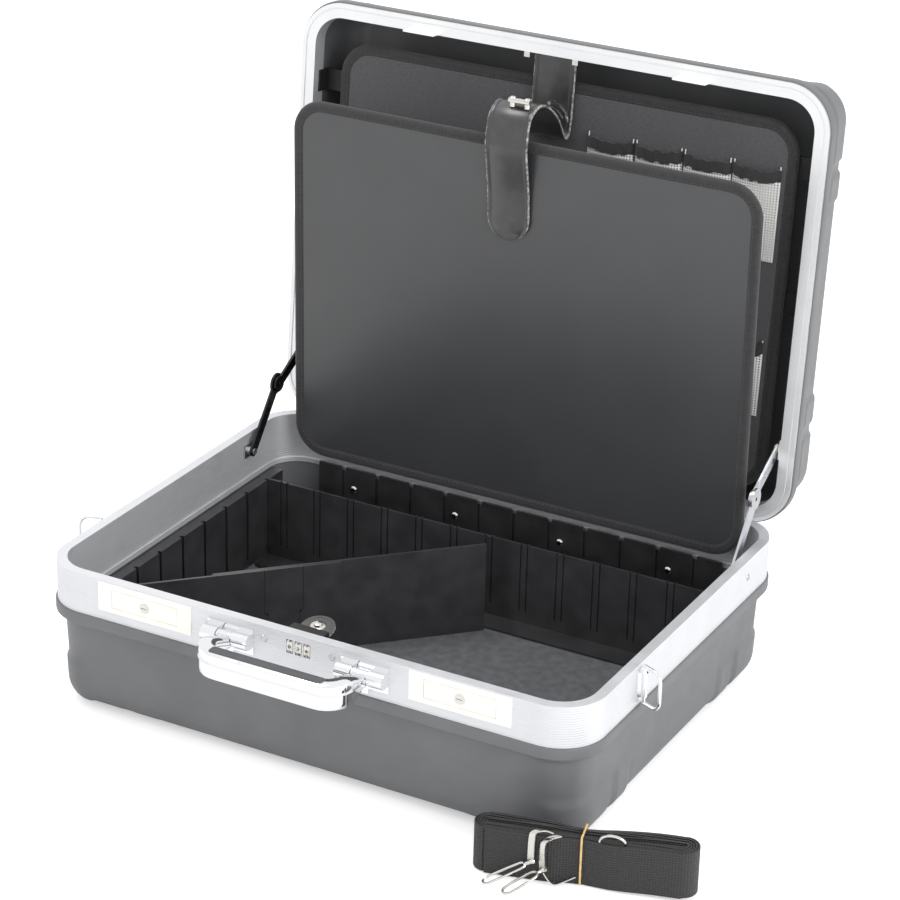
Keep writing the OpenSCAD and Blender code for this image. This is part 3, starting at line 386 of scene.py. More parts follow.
def grain(mat, shader, mm, high, coords="Object", stretch=(1, 1, 1), detail=2.0):
    """An even random grain, mm across and high millimetres deep."""
    where = place_texture(mat, mm, coords, stretch)
    noise = add_node(mat, "TexNoise", None, {"Vector": (where, "Vector"), "Scale": 1.0, "Detail": detail})
    raise_surface(mat, shader, (noise, "Fac"), high)


def vary_gloss(mat, shader, low, high, mm, coords="Object", stretch=(1, 1, 1)):
    """Handled patches that are smoother or duller than the rest."""
    where = place_texture(mat, mm, coords, stretch)
    noise = add_node(mat, "TexNoise", None, {"Vector": (where, "Vector"), "Scale": 1.0, "Detail": 5.0})
    inputs = {"Value": (noise, "Fac"), "From Min": 0.3, "From Max": 0.7, "To Min": low, "To Max": high}
    spread = add_node(mat, "MapRange", None, inputs)
    mat.node_tree.links.new(spread.outputs["Result"], shader.inputs["Roughness"])


def stripes(mat, pitch, axis, coords="UV"):
    """Parallel ribs, one every pitch millimetres, across the given axis; returns their height field."""
    where = place_texture(mat, pitch, coords)
    split = add_node(mat, "SeparateXYZ", None, {"Vector": (where, "Vector")})
    wave = add_node(mat, "Math", {"operation": "MULTIPLY"}, {0: (split, axis), 1: 2 * math.pi})
    return add_node(mat, "Math", {"operation": "SINE"}, {0: (wave, "Value")}), "Value"


def combine(mat, operation, first, second):
    """One height field from two, or from one and a number."""
    return add_node(mat, "Math", {"operation": operation}, {0: first, 1: second}), "Value"


def finish(short, name, colour, rough, cloud=None, gloss=None, fine=None, **start):
    """A material kept under its short name, with cloudy colour, varied gloss and fine grain where given."""
    mat, shader = start_material(name, colour, rough, **start)
    MATERIALS[short] = mat
    if cloud:
        vary_colour(mat, shader, colour, *cloud)
    if gloss:
        vary_gloss(mat, shader, *gloss)
    if fine:
        grain(mat, shader, *fine)
    return mat, shader


def coat(shader, weight, rough):
    """A clear layer over the surface."""
    shader.inputs["Coat Weight"].default_value = weight
    shader.inputs["Coat Roughness"].default_value = rough


MATERIALS = {}


def make_materials(look):
    """Every finish of the case, by a short name."""

    # ABS, injection moulded against a spark-eroded tool: an even satin grain that spreads the light softly;
    # the real grain is about 0.4 mm, drawn at 0.9 mm so that it shows
    colour = tuple(look.shell_colour)
    fine = (look.grain, 0.035)
    finish("abs", "moulded ABS with satin grain", colour, 0.42, (0.06, 40), (0.36, 0.46, 25), fine, ior=1.54)

    # ABS sheet, vacuum formed with a fine leather print: deep black with a broad sheen
    colour = tuple(look.liner_colour)
    cloud, gloss, fine = (0.25, 18), (0.3, 0.44, 22), (1.1, 0.03)
    mat, shader = finish("sheet", "vacuum formed ABS sheet", colour, 0.36, cloud, gloss, fine, ior=1.54)
    coat(shader, 0.5, 0.3)

    # anodised aluminium extrusion: pale, satin, with the die's ribs 2 mm apart along its length; the clear
    # oxide layer scatters part of the light, so that it stays pale where it faces something dark
    colour = srgb("#DDDEE1")
    cloud, gloss = (0.02, 30), (0.4, 0.52, 14, "Object", (1, 1, 4))
    mat, shader = finish("aluminium", "anodised aluminium extrusion", colour, 0.46, cloud, gloss, metal=0.6)
    raise_surface(mat, shader, stripes(mat, 2.0, "Z", "Object"), 0.05)

    # anodised aluminium, flat drawn: the lid frame's face
    colour = srgb("#F0F1F3")
    cloud, gloss = (0.02, 30), (0.36, 0.48, 12)
    finish("face", "anodised aluminium, drawn face", colour, 0.42, cloud, gloss, (1.5, 0.01), metal=0.7)

    # chromed zinc casting, polished: mirror bright with faint waviness
    gloss, fine = (0.04, 0.12, 9), (9, 0.02, "Object", (1, 1, 1), 1.0)
    finish("chrome", "polished chrome on zinc", srgb("#F1F2F4"), 0.07, None, gloss, fine, metal=1.0)

    # bright nickel plate on pressed steel: warm mirror with fine scratches
    gloss, fine = (0.1, 0.22, 5), (3, 0.01)
    finish("nickel", "bright nickel plate", srgb("#DAD8D2"), 0.14, None, gloss, fine, metal=1.0)

    # zinc plated steel, rolled: soft grey lustre along the strip
    colour = srgb("#C4C6CA")
    cloud, gloss, fine = (0.08, 10), (0.24, 0.42, 6), (1.2, 0.01, "Object", (1, 6, 1))
    finish("steel", "zinc plated steel strip", colour, 0.32, cloud, gloss, fine, metal=1.0)

    # black oxide on steel: dark with a brown-grey lustre
    finish("oxide", "blackened steel", srgb("#3A3B3D"), 0.38, (0.2, 6), None, (0.8, 0.02), metal=1.0)

    # stove enamel on pressed steel: a smooth warm white skin with a faint orange peel
    finish("enamel", "ivory stove enamel", tuple(look.enamel_colour), 0.3, (0.02, 12), None, (2.5, 0.01))

    # closed-cell foam mat, skived: matt, with tiny pores
    finish("foam", "skived foam mat", srgb("#626366"), 0.8, (0.15, 8), None, (1.0, 0.08), ior=1.45)

    # board covered in fine coated cloth: even, with a faint thread grain under a satin coat;
    # the real threads are about 0.3 mm, drawn at 1 mm so that they show
    colour = tuple(look.board_colour)
    cloud, gloss, fine = (0.05, 50, "UV"), (0.46, 0.54, 30, "UV"), (1.0, 0.035, "UV")
    mat, shader = finish("board", "coated board cloth", colour, 0.5, cloud, gloss, fine)
    coat(shader, 1.0, 0.28)

    # rear board: cotton twill, its threads drawn at 1.6 mm
    cloud = (0.18, 3, "UV", (1, 3, 1))
    mat, shader = finish("twill", "cotton twill", srgb("#535356"), 0.75, cloud, ior=1.45)
    shader.inputs["Sheen Weight"].default_value = 0.3
    weave = combine(mat, "MULTIPLY", stripes(mat, 1.6, "X"), stripes(mat, 1.6, "Y"))
    raise_surface(mat, shader, weave, 0.12)

    # grosgrain binding tape: ribs across the tape
    cloud = (0.15, 5, "UV")
    mat, shader = finish("binding", "woven polyester tape", tuple(look.binding_colour), 0.7, cloud, ior=1.48)
    shader.inputs["Sheen Weight"].default_value = 0.25
    raise_surface(mat, shader, stripes(mat, 1.3, "X"), 0.12)
    grain(mat, shader, 0.7, 0.06, "UV")

    # woven net: white squares between black threads
    mat, shader = finish("net", "black and white woven net", srgb("#E6E6E4"), 0.6)
    threads = stripes(mat, look.net_pitch, "X"), stripes(mat, look.net_pitch, "Y")
    weave = combine(mat, "MINIMUM", *threads)
    two_tone(mat, shader, weave, (0.05, srgb("#F2F2EF")), (0.2, srgb("#1B1B1D")))
    raise_surface(mat, shader, weave, 0.15)

    # split leather, plated smooth: a tight grain under a clear dressing that shines along the folds
    cloud, gloss, fine = (0.25, 9, "UV"), (0.28, 0.44, 7, "UV"), (1.1, 0.06, "UV")
    mat, shader = finish("leather", "plated split leather", srgb("#28282A"), 0.36, cloud, gloss, fine)
    coat(shader, 1.0, 0.3)

    # cut leather edge: raw fibres, paler than the face
    finish("edge", "cut leather edge", srgb("#8E8C89"), 0.8, (0.7, 3), None, (0.8, 0.1), ior=1.45)

    # sewing thread, twisted
    finish("thread", "twisted sewing thread", srgb("#4A4A4C"), 0.6, fine=(0.5, 0.05))

    # rubber, moulded with fine ribs across the grip
    mat, shader = finish("rubber", "ribbed moulded rubber", srgb("#55575A"), 0.55, (0.08, 6), ior=1.52)
    raise_surface(mat, shader, stripes(mat, 1.6, "X", "Object"), 0.25)

    # nylon webbing: fine ribs along it, crossed by fainter weft lines; real ribs about 0.8 mm, drawn wider;
    # the ribs' crests are coloured paler as a painted highlight and their troughs darker as painted shade
    colour = tuple(look.webbing_colour)
    mat, shader = finish("webbing", "woven nylon webbing", colour, 0.6, ior=1.52)
    shader.inputs["Sheen Weight"].default_value = 0.08
    weft = combine(mat, "MULTIPLY", stripes(mat, look.webbing_pitch, "X"), 0.4)
    weave = combine(mat, "ADD", weft, stripes(mat, look.webbing_pitch * 0.9, "Y"))
    # painted shade in the weave's troughs and a painted highlight on its crests, taken from the same height
    # field as the bump
    two_tone(mat, shader, weave, (0.1, [c * 0.7 for c in colour]), (0.9, [c * 1.35 for c in colour]))
    raise_surface(mat, shader, weave, 0.3)

    # natural rubber band, extruded
    finish("band", "natural rubber band", srgb("#D9B77A"), 0.5, (0.12, 4), None, (1.0, 0.03), ior=1.52)

    # acetal number wheels, moulded
    finish("dial", "moulded acetal", srgb("#E4E2DA"), 0.35, (0.03, 3), None, (1.0, 0.01), ior=1.48)

    # black nylon, moulded
    finish("nylon", "moulded black nylon", srgb("#1C1C1E"), 0.45, (0.15, 6), None, (0.8, 0.02), ior=1.53)

    # printing ink on the number wheels
    finish("ink", "black dial ink", srgb("#151516"), 0.5, fine=(0.6, 0.01))


# ---------- settings ----------


class CaseLook(bpy.types.PropertyGroup):
    shell_colour: bpy.props.FloatVectorProperty(
        name="Shell colour", description="Colour of the moulded shells", subtype="COLOR",
        default=srgb("#68696B"), min=0, max=1,
    )
    liner_colour: bpy.props.FloatVectorProperty(
        name="Liner colour", description="Colour of the black sheet inside", subtype="COLOR",
        default=srgb("#303032"), min=0, max=1,
    )
    board_colour: bpy.props.FloatVectorProperty(
        name="Board colour", description="Colour of the front tool board", subtype="COLOR",
        default=srgb("#353638"), min=0, max=1,
    )
    binding_colour: bpy.props.FloatVectorProperty(
        name="Binding colour", description="Colour of the boards' edge tape", subtype="COLOR",
        default=srgb("#2C2C2E"), min=0, max=1,
    )
    enamel_colour: bpy.props.FloatVectorProperty(
        name="Enamel colour", description="Colour of the latch plates", subtype="COLOR",
        default=srgb("#F6F5ED"), min=0, max=1,
    )
    webbing_colour: bpy.props.FloatVectorProperty(
        name="Webbing colour", description="Colour of the shoulder strap", subtype="COLOR",
        default=srgb("#2A2A2C"), min=0, max=1,
    )
    grain: bpy.props.FloatProperty(
        name="Shell grain", description="Width of the shells' grain in millimetres",
        default=0.9, min=0.3, max=3,
    )
    net_pitch: bpy.props.FloatProperty(
        name="Net pitch", description="Distance of the pockets' threads in millimetres",
        default=2.2, min=1, max=5,
    )
    webbing_pitch: bpy.props.FloatProperty(
        name="Webbing pitch", description="Distance of the webbing's ribs in millimetres",
        default=2.2, min=1, max=5,
    )


class CaseStage(bpy.types.PropertyGroup):
    fill: bpy.props.FloatProperty(
        name="Fill", description="Strength of the even light from all round", default=1.05, min=0, max=3
    )
    key: bpy.props.FloatProperty(
        name="Key", description="Power of the soft lamp above", default=8.0, min=0, max=100, unit="POWER"
    )
    side: bpy.props.FloatProperty(
        name="Side", description="Power of the soft lamp on the right",
        default=31.0, min=0, max=100, unit="POWER",
    )
    lens: bpy.props.FloatProperty(
        name="Lens", description="Focal length of the camera", default=120, min=20, max=300, unit="CAMERA"
    )
    floor_size: bpy.props.FloatProperty(
        name="Floor size", description="Width of the floor", default=12.0, min=2, max=40, unit="LENGTH"
    )


# ---------- pieces ----------


def shell_shape(depth):
    """A moulded shell about its frame seam: y of the section runs down from the seam."""
    low = depth - EDGE_R
    # under the frame: the collar, then the step back to the wall
    outer = [(FRAME_IN, 0.0), (-COLLAR_OUT, 0.0), (-COLLAR_OUT, COLLAR_H - 1.5)]
    outer += [(-COLLAR_OUT + 1.8, COLLAR_H), (WALL_IN - 1.2, COLLAR_H + 0.2), (WALL_IN, COLLAR_H + 2.5)]
    outer = softened(outer, 1.2)
    x0, y0 = outer[-1]
    outer += [(x0 + (WALL_LOW - x0) * i / 14, y0 + (low - y0) * i / 14) for i in range(1, 14)]
    outer += arc(WALL_LOW + EDGE_R, low, EDGE_R, 180, 90, 10)
    # the flat end keeps inside the corner radius, and is level where its last face starts
    outer += [(x, depth) for x in (31, FLAT_FROM, 34.8, FLAT_TO)]
    inner = [(FLAT_TO, depth - SHELL_T)] + arc(WALL_LOW + EDGE_R, low, EDGE_R - SHELL_T, 90, 180, 6)
    inner += [(WALL_IN + SHELL_T, 12.0), (WALL_IN + SHELL_T, 10.8), (WALL_IN + 0.4, 10.6)]
    inner += [(FRAME_IN, 7.5), (FRAME_IN, 0.4)]
    rings = []
    for p, inward in stations(CASE_W, CASE_D, CORNER_R, 2.5, 14):
        ax, ay = SIDE - abs(p.x), BACK - abs(p.y)
        far = max(ax, ay)
        pad = ease((PAD_LEN + 2 - far) / 4) + ease((far - PAD_LEN - 8) / 4) * ease((PAD_LEN + 34 - far) / 4)
        # the long walls are nearly smooth
        pad *= 1 - 0.85 * ease((ax - CORNER_R + 12) / 16)
        ring = []
        for x, y in outer:
            rise = ease((y - (low - EDGE_R)) / 5) if y < depth - 0.01 else ease((FLAT_FROM - x) / 4.5)
            push = PAD_H * pad * rise
            a = math.asin(min((y - low) / EDGE_R, 1)) if y > low else 0
            ring.append((x - push * math.cos(a), y + push * math.sin(a)))
        rings.append([(p.x + inward.x * x, p.y + inward.y * x, y) for x, y in ring[::-1] + inner[::-1]])
    return Shape().grid(rings, loop=True, closed=False, caps=True)


class TOOLCASE_OT_shells(bpy.types.Operator):
    """Moulded shells of the base and the lid"""

    bl_idname = "toolcase.shells"
    bl_label = "Moulded shells"

    def execute(self, context):
        low = shell_shape(FRAME_Z - PAD_H)
        low.points = [Vector((p.x, p.y, FRAME_Z - p.z)) for p in low.points]
        low.plate(round_rect(CASE_W - 152, CASE_D - 152, 12), 0, PAD_H + 1, 0.8)
        piece("base_shell_skin", low, ["abs"], "case", HERE, ["lower_shell"])
        top = shell_shape(LID_H - 2.3)
        top.points = [Vector((p.x, p.y, SEAM + 2.3 + p.z)) for p in top.points]
        piece("lid_shell_skin", top, ["abs"], "lid", LID, ["lid_shell"])
        return {"FINISHED"}


def board_shape(w, l, crown):
    """A covered board with a slightly full face; its tape and stitches are the second and third material."""
    shape = Shape()
    inset = 7.5
    rings = []
    outline = [(p.x, p.y) for p, _ in stations(w - 2 * inset, l - 2 * inset, BOARD_R - inset, 6, 8)]
    # face and back, each from the edge to the middle with a soft crown
    for z_edge, z_mid in ((1.2, 1.2 - crown), (4.8, 4.8 + crown)):
        layer = []
        for k in range(13):
            f = 1 - k / 12 * 0.985
            z = z_edge + (z_mid - z_edge) * ease((1 - f) * 3)
            layer.append([(x * f, y * f + l / 2, z) for x, y in outline])
        rings.append(layer)
    shape.grid(rings[0][::-1] + rings[1], loop=False, closed=True, caps=True)
    shape.lay_flat()
    tape = [(9.2, 1.4), (8.6, 0.9), (7.6, 0.45), (6.6, 0.5), (5.0, 0.1), (3.0, 0.0), (1.4, 0.5), (0.4, 1.6)]
    tape.append((0.0, BOARD_T / 2))
    tape += [(x, BOARD_T - z) for x, z in tape[-2::-1]]
    around = [
        [(p.x + inward.x * x, p.y + inward.y * x + l / 2, z) for x, z in tape]
        for p, inward in stations(w, l, BOARD_R, 4, 14)
    ]
    shape.grid(around, loop=True, closed=True, slot=1)
    seam = stations(w, l, BOARD_R, 6, 12)
    seam = [(p.x + n.x * SEAM_IN, p.y + n.y * SEAM_IN + l / 2, 0.45) for p, n in seam]
    stitch_row(shape, seam, 2.6, 1.4, 0.28, 2, -0.15)
    return shape


def stitch_row(shape, path, length, gap, radius, slot, lift=0.0):
    """Short thread loops along a line of points."""
    at, out = 0.0, []
    for a, b in zip(path, path[1:]):
        a, b = Vector(a), Vector(b)
        while at < (b - a).length:
            out.append((a + (b - a).normalized() * at, (b - a).normalized()))
            at += length + gap
        at -= (b - a).length
    for p, along in out:
        middle = p + along * length * 0.5 + Vector((0, 0, lift))
        shape.tube([p, middle, p + along * length], radius, 6, slot=slot)


class TOOLCASE_OT_front_board(bpy.types.Operator):
    """Front tool board with its bound and sewn edge"""

    bl_idname = "toolcase.front_board"
    bl_label = "Front tool board"

    def execute(self, context):
        shape = board_shape(BOARD_W, BOARD_L, 0.5)
        # the hanging strip's end, sewn to the back
        seam = BOARD_L - SEAM_UP
        shape.block((-150, seam - 4, 3.5), (150, seam + 4, BOARD_T), 0.6, slot=1)
        skins = ["board", "binding", "thread"]
        solids = ["front_tool_board", "front_board_binding"]
        made = piece(
            "front_board_padded", shape, skins, "front_board", FRONT_BOARD, solids
        )
        return {"FINISHED"}


def pocket_shape(x0, x1, top, bottom, seed):
    """A net pouch with a tape along its mouth, a little open."""
    rng = random.Random(seed)
    shape = Shape()
    w, nx, ny = x1 - x0, 16, 10
    sag = [rng.uniform(-1.3, 1.3) for _ in range(nx + 1)]
    gape = rng.uniform(3.0, 5.5)

    def front(i, j):
        u, v = i / nx, j / ny
        swell = math.sin(math.pi * u) ** 0.6 if 0 < u < 1 else 0
        z = 0.3 - swell * (gape * (1 - v) ** 2 + 1.0 * math.sin(math.pi * v))
        return (x0 + w * u, top + (bottom - top) * v + (swell * 2.2 + sag[i]) * (1 - v), z)

    outer = [[front(i, j) for j in range(ny + 1)] for i in range(nx + 1)]
    inner = [[(x, y, z + 0.5) for x, y, z in col] for col in outer]
    shape.grid([a + b[::-1] for a, b in zip(outer, inner)], loop=False, closed=True, caps=True)
    shape.lay_flat()
    mouth = [front(i, 0) for i in range(nx + 1)]
    tape = [(-0.7, -2.0), (0.6, -2.0), (0.9, 7.5), (-0.4, 7.5)]
    rings = [[(x, y + b, z + a) for a, b in tape] for x, y, z in mouth]
    shape.grid(rings, loop=False, closed=True, caps=True, slot=1)
    for x in (x0 + 0.8, x1 - 0.8):
        shape.block((x - 0.4, top - 4.5, -0.5), (x + 0.4, top + 4.5, 0.4), 0.2, slot=2)
    return shape


class TOOLCASE_OT_rear_board(bpy.types.Operator):
    """Rear tool board with its tape, and the woven net pockets on it"""

    bl_idname = "toolcase.rear_board"
    bl_label = "Rear tool board and pockets"

    def execute(self, context):
        shape = board_shape(REAR_W, REAR_L, 0.3)
        skins = ["twill", "binding", "thread"]
        solids = ["rear_tool_board", "rear_board_binding"]
        made = piece("rear_board_padded", shape, skins, "lid", REAR_BOARD, solids)
        pouches = Shape()
        skins = ["net", "binding", "enamel"]
        first, last = STRAP_X + STRAP_W / 2 + 13.5, REAR_W / 2 - 11.5
        w, gap = (last - first) / POCKETS, 0.8
        for row, (top, high) in enumerate(POCKET_ROWS):
            for i in range(POCKETS):
                left = first + i * w
                pouches.add(pocket_shape(left + gap, left + w - gap, top + 1, top + high, row * 10 + i))
        net = piece("net_pockets", pouches, skins, "lid", REAR_BOARD, ["tool_pockets"])
        return {"FINISHED"}


def curve_through(points, n):
    """A smooth line through the points, n steps between each two."""
    pts = [Vector(p) for p in points]
    out = []
    for i in range(len(pts) - 1):
        p0, p1, p2, p3 = pts[max(i - 1, 0)], pts[i], pts[i + 1], pts[min(i + 2, len(pts) - 1)]
        for k in range(n):
            t = k / n
            bend, swing = 2 * p0 - 5 * p1 + 4 * p2 - p3, 3 * p1 - p0 - 3 * p2 + p3
            out.append(0.5 * ((2 * p1) + (p2 - p0) * t + bend * t * t + swing * t**3))
    out.append(pts[-1])
    return out


def leather_strap(path, w, t, facing=1, round_end=False):
    """A sewn strap along a path in the YZ plane; its faces, cut edges and thread are three materials."""
    shape = Shape()
    rng = random.Random(5)
    pts = curve_through(path, 10)
    n = len(pts)
    rings, seams = [], ([], [])
    total = sum((a - b).length for a, b in zip(pts, pts[1:]))
    run = 0.0
    for i, p in enumerate(pts):
        if i:
            run += (p - pts[i - 1]).length
        ahead, behind = pts[min(i + 1, n - 1)], pts[max(i - 1, 0)]
        half = w / 2
        left = total - run
        if round_end and left < w / 2:
            half = max(math.sqrt(max((w / 2) ** 2 - (w / 2 - left) ** 2, 0)), 1.0)
        up = (ahead - behind).normalized().cross(Vector((1, 0, 0))).normalized() * facing
        rag = [rng.uniform(-0.35, 0.35) / half for _ in range(4)]
        # ragged cut edges, and a groove pressed along each seam
        section = [(-1 - rag[0], -0.3), (-0.96 + rag[1], -0.5), (-0.84, -0.48), (-0.8, -0.36), (-0.76, -0.5)]
        section += [(0, -0.56), (0.76, -0.5), (0.8, -0.36), (0.84, -0.48), (0.96 + rag[2], -0.5)]
        section += [(1 + rag[3], -0.3), (1, 0.3), (0.97, 0.5), (0, 0.5), (-0.97, 0.5), (-1, 0.3)]
        rings.append([p + Vector((a * half, 0, 0)) + up * b * t for a, b in section])
        if left > w / 2 or not round_end:
            for seam, side in zip(seams, (-0.8, 0.8)):
                seam.append(p + Vector((side * half, 0, 0)) - up * 0.42 * t)
    shape.grid(rings, loop=False, closed=True, caps=True)
    across = len(section)
    for f in range((n - 1) * across):
        shape.slots[f] = 1 if f % across in (0, 9, 10, 15) else 0
    for seam in seams:
        stitch_row(shape, seam, 2.6, 1.2, 0.3, 2)
    return shape


class TOOLCASE_OT_straps(bpy.types.Operator):
    """Leather closing strap, its tail, its metal end and the leather tab"""

    bl_idname = "toolcase.straps"
    bl_label = "Leather straps and studs"

    def execute(self, context):
        skins = ["leather", "edge", "thread"]
        # tail: flat on the board, then swelling away from it towards its top edge
        line = [(TAIL_L, -1.6), (62, -1.8), (42, -3.0), (24, -5.8), (10, -8.2), (3, -8.9)]
        tail = leather_strap([(STRAP_X, y, z) for y, z in line[::-1]], STRAP_W, STRAP_T, -1, True)
        solids = ["closing_strap_tail"]
        made = piece("closing_strap_front", tail, skins, "front_board", FRONT_BOARD, solids)
        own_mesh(made)

        # loop: from the tail's top over the gap, down into a bight and up the rear board
        start = FRONT_BOARD @ Vector((STRAP_X, 4, -8.9))
        over = [(145.6, 425), (150, 433.6), (158, 438.2), (167, 439.2), (179, 434.8), (191, 426.3)]
        bight = [(200, 417), (205.5, 408.5), (209.8, 402), (214.2, 399.6), (218.2, 402), (220.6, 410)]
        rear = [(222, 420), (223.9, 440), (226.2, 464.5)]
        route = [tuple(start)] + [(STRAP_X, y, z) for y, z in over + bight + rear]
        loop = leather_strap(route, STRAP_W, STRAP_T)
        made = piece("closing_strap_loop", loop, skins, "lid", HERE, ["closing_strap"])
        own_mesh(made)

        # press bar on the fold and the two halves of the nickel ring below it
        metal = Shape()
        metal.block((-12, 153, 442.6), (7, 159.5, 446), 0.8)
        rivet = [(0.01, 439), (2.6, 439), (2.6, 446.4), (1.4, 447.2), (0.01, 447.2)]
        for x in (-9, 4):
            metal.turned(rivet, shift(x, 156.2, 0), 16)
        half = [(175.4, 440.1), (182.4, 439), (191.5, 434.9), (200.9, 428.3), (206.8, 421.7), (209.1, 416)]
        half = curve_through([(13.2, y, z) for y, z in half], 5)
        metal.tube(half, 1.7, 10)
        metal.tube([(x - 2.6, y - 1.5, z - 3.2) for x, y, z in half[:-6]], 1.0, 10)
        made = piece("strap_metal", metal, ["nickel"], "lid", HERE, ["strap_studs"])
        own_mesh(made)

        # tab behind the lock: sewn leather, its lip curling up a little
        y0 = FRONT + 19 + 0.3 + 2 * math.sin(math.radians(TAB_TILT))
        place = shift(0, y0, SEAM - 8) @ turn(TAB_TILT, "X")
        half_w, long = 13.0, 21.5
        outline = []
        for i in range(17):
            a = math.radians(180 * i / 16)
            outline.append((half_w * math.cos(a), long - half_w + half_w * math.sin(a)))
        outline += [(-half_w, 0), (half_w, 0)]
        tab = Shape()
        tab.plate(outline[::-1], 0, 2, 0.35)
        tab.slots = [1 if k < 5 * len(outline) else 0 for k in range(len(tab.slots))]
        for k, p in enumerate(tab.points):
            p.z += 0.9 * ease((p.y - 9) / 12)
        seam = [(x * 0.82, y * 0.86) for x, y in outline[:17]]
        seam = [(x, y + 1.2, 2.05 + 0.9 * ease((y - 7.8) / 12)) for x, y in seam]
        stitch_row(tab, seam, 1.8, 0.9, 0.22, 2)
        piece("lock_tab", tab, skins, "case", place, ["document_tab"])
        stud = Shape()
        cap = [(0.01, 2.0), (6, 2.0), (6, 2.6), (5.2, 3.0), (3.6, 3.0), (3.3, 4.4), (2.6, 4.8), (0.01, 4.8)]
        stud.turned(cap, shift(0, 9.5, 0))
        piece("lock_tab_stud", stud, ["nickel"], "case", place, ["tab_stud"])
        return {"FINISHED"}


class TOOLCASE_OT_handle(bpy.types.Operator):
    """Chromed carrying handle with its ribbed grip insert"""

    bl_idname = "toolcase.handle"
    bl_label = "Carrying handle"

    def execute(self, context):
        pivot_y, pivot_z, front_y, z_mid, half, bend = -187.5, 110.5, -224.5, 109.0, 58.0, 15.0
        right = [(half, pivot_y), (half, pivot_y - 8), (half, front_y + bend)]
        right += arc(half - bend, front_y + bend, bend, 0, -90, 8)[1:]
        path = right + [(x, front_y) for x in (30, 15, 0)]
        path += [(-x, y) for x, y in path[-2::-1]]
        bar, n = Shape(), len(path)
        rings = []
        for i, (x, y) in enumerate(path):
            ahead, behind = Vector(path[min(i + 1, n - 1)]), Vector(path[max(i - 1, 0)])
            along = (ahead - behind).normalized()
            out = Vector((-along.y, along.x))
            if out.dot(Vector((x, y + 190))) < 0:
                out = -out
            grip = ease((pivot_y - 4 - y) / 20)
            w, h = 7.0, 5.0 + 6.0 * grip
            # rounded bar with two long grooves in its outer face
            section = [(w - 2.4, h), (w - 0.6, h - 1.1), (w, h - 3)]
            section += [(w, h * 0.52), (w - 1.7, h * 0.42), (w - 1.7, h * 0.22), (w, h * 0.12)]
            section += [(w, -h * 0.5), (w, 3 - h), (w - 0.8, 1.2 - h), (w - 2.8, -h)]
            section += [(2.8 - w, -h), (0.8 - w, 1.2 - h), (-w, 3 - h), (-w, h - 3)]
            section += [(0.6 - w, h - 1.1), (2.4 - w, h)]
            rings.append([(x + out.x * a, y + out.y * a, z_mid + b) for a, b in section])
        bar.grid(rings, loop=False, closed=True, caps=True)
        eye = [(0.01, -7), (5.2, -7), (5.2, 7), (0.01, 7)]
        for x in (-half, half):
            bar.turned(eye, shift(x, pivot_y, pivot_z) @ turn(90, "Y"), 24)
        piece("handle_casting", bar, ["chrome"], "handle", HERE, ["handle_bar"])
        grip = Shape()
        grip.plate(round_rect(96, 8.4, 2), 119.4, 120.9, 0.5, shift(0, front_y, 0))
        piece("handle_grip", grip, ["rubber"], "handle", HERE, ["handle_insert"])
        return {"FINISHED"}


class TOOLCASE_OT_dials(bpy.types.Operator):
    """Numbers round the three wheels of the lock"""

    bl_idname = "toolcase.dials"
    bl_label = "Numbers on the lock wheels"

    def execute(self, context):
        axle_y, axle_z, pitch, size, radius = -172.7, 113, 7.4, 4.4, 7.86
        upright = turn(90, "X") @ shift(0, 0, radius)
        for i in range(3):
            figures = Shape()
            for k in range(10):
                wheel = shift((i - 1) * pitch, axle_y, axle_z)
                figures.letters(str((k + 3 * i) % 10), size, wheel @ turn(36 * k, "X") @ upright)
            piece("dial_figures_%d" % (i + 1), figures, ["ink"], "wheel_%d" % (i + 1))
        return {"FINISHED"}


def bundle_route():
    """Plan of the folded webbing: turns round and round, pinched by the band."""
    route = []
    turns, left, right = 5, -67.0, 75.0

    def run(start, way, mid, r):
        for i in range(15):
            x = start + way * (right - left) * i / 14
            route.append((x, mid - way * r * (1 - 0.32 * math.exp(-((x - BAND_X) / 16) ** 2))))

    for k in range(turns):
        r = 11.0 - 1.95 * k
        mid = 0.35 * (k % 2)
        run(left, 1, mid, r)
        route += [(right + x, mid + y) for x, y in arc(0, 0, r - 0.5, -80, 80, 8)]
        r -= 0.95
        run(right, -1, mid, r)
        route += [(left - x, mid + y) for x, y in arc(0, 0, r - 0.5, 80, -80, 8)]
    return route


def aimed(origin, ahead):
    """A place at the origin whose -Z axis points ahead."""
    z = -Vector(ahead).normalized()
    x = Vector((0, 0, 1)).cross(z).normalized()
    place = Matrix((x, z.cross(x), z)).transposed().to_4x4()
    place.translation = origin
    return place


def hook_shape(shape, plate, neck, tip):
    """A plated snap hook: bracket plate bent over the webbing, swivel neck and sprung wire loop."""
    rect = [(-2.7, -0.5), (2.7, -0.5), (2.7, 0.5), (-2.7, 0.5)]
    shape.sweep(curve_through(plate + [neck], 6), rect, side=Vector((0.85, -0.48, 0.2)).normalized())
    neck, tip = Vector(neck), Vector(tip)
    place, long = aimed(neck, tip - neck), (tip - neck).length
    swivel = [(0.01, 3), (2.2, 3), (2.7, 2), (2.2, 0.5), (1.5, -1), (1.5, -4), (2.2, -5), (0.01, -5)]
    shape.turned(swivel, place, 16)
    wire = [(0, -3), (3.0, -5.5), (4.2, -10), (4.2, 6 - long), (2.6, 1 - long), (-0.6, -long)]
    wire += [(-3.4, 2.6 - long), (-4.0, 8 - long), (-3.0, -8), (0, -3.4)]
    wire = curve_through([(x, z, 0) for x, z in wire], 5)
    shape.tube([place @ Vector((p.x, 0, p.y)) for p in wire], 0.95, 10)


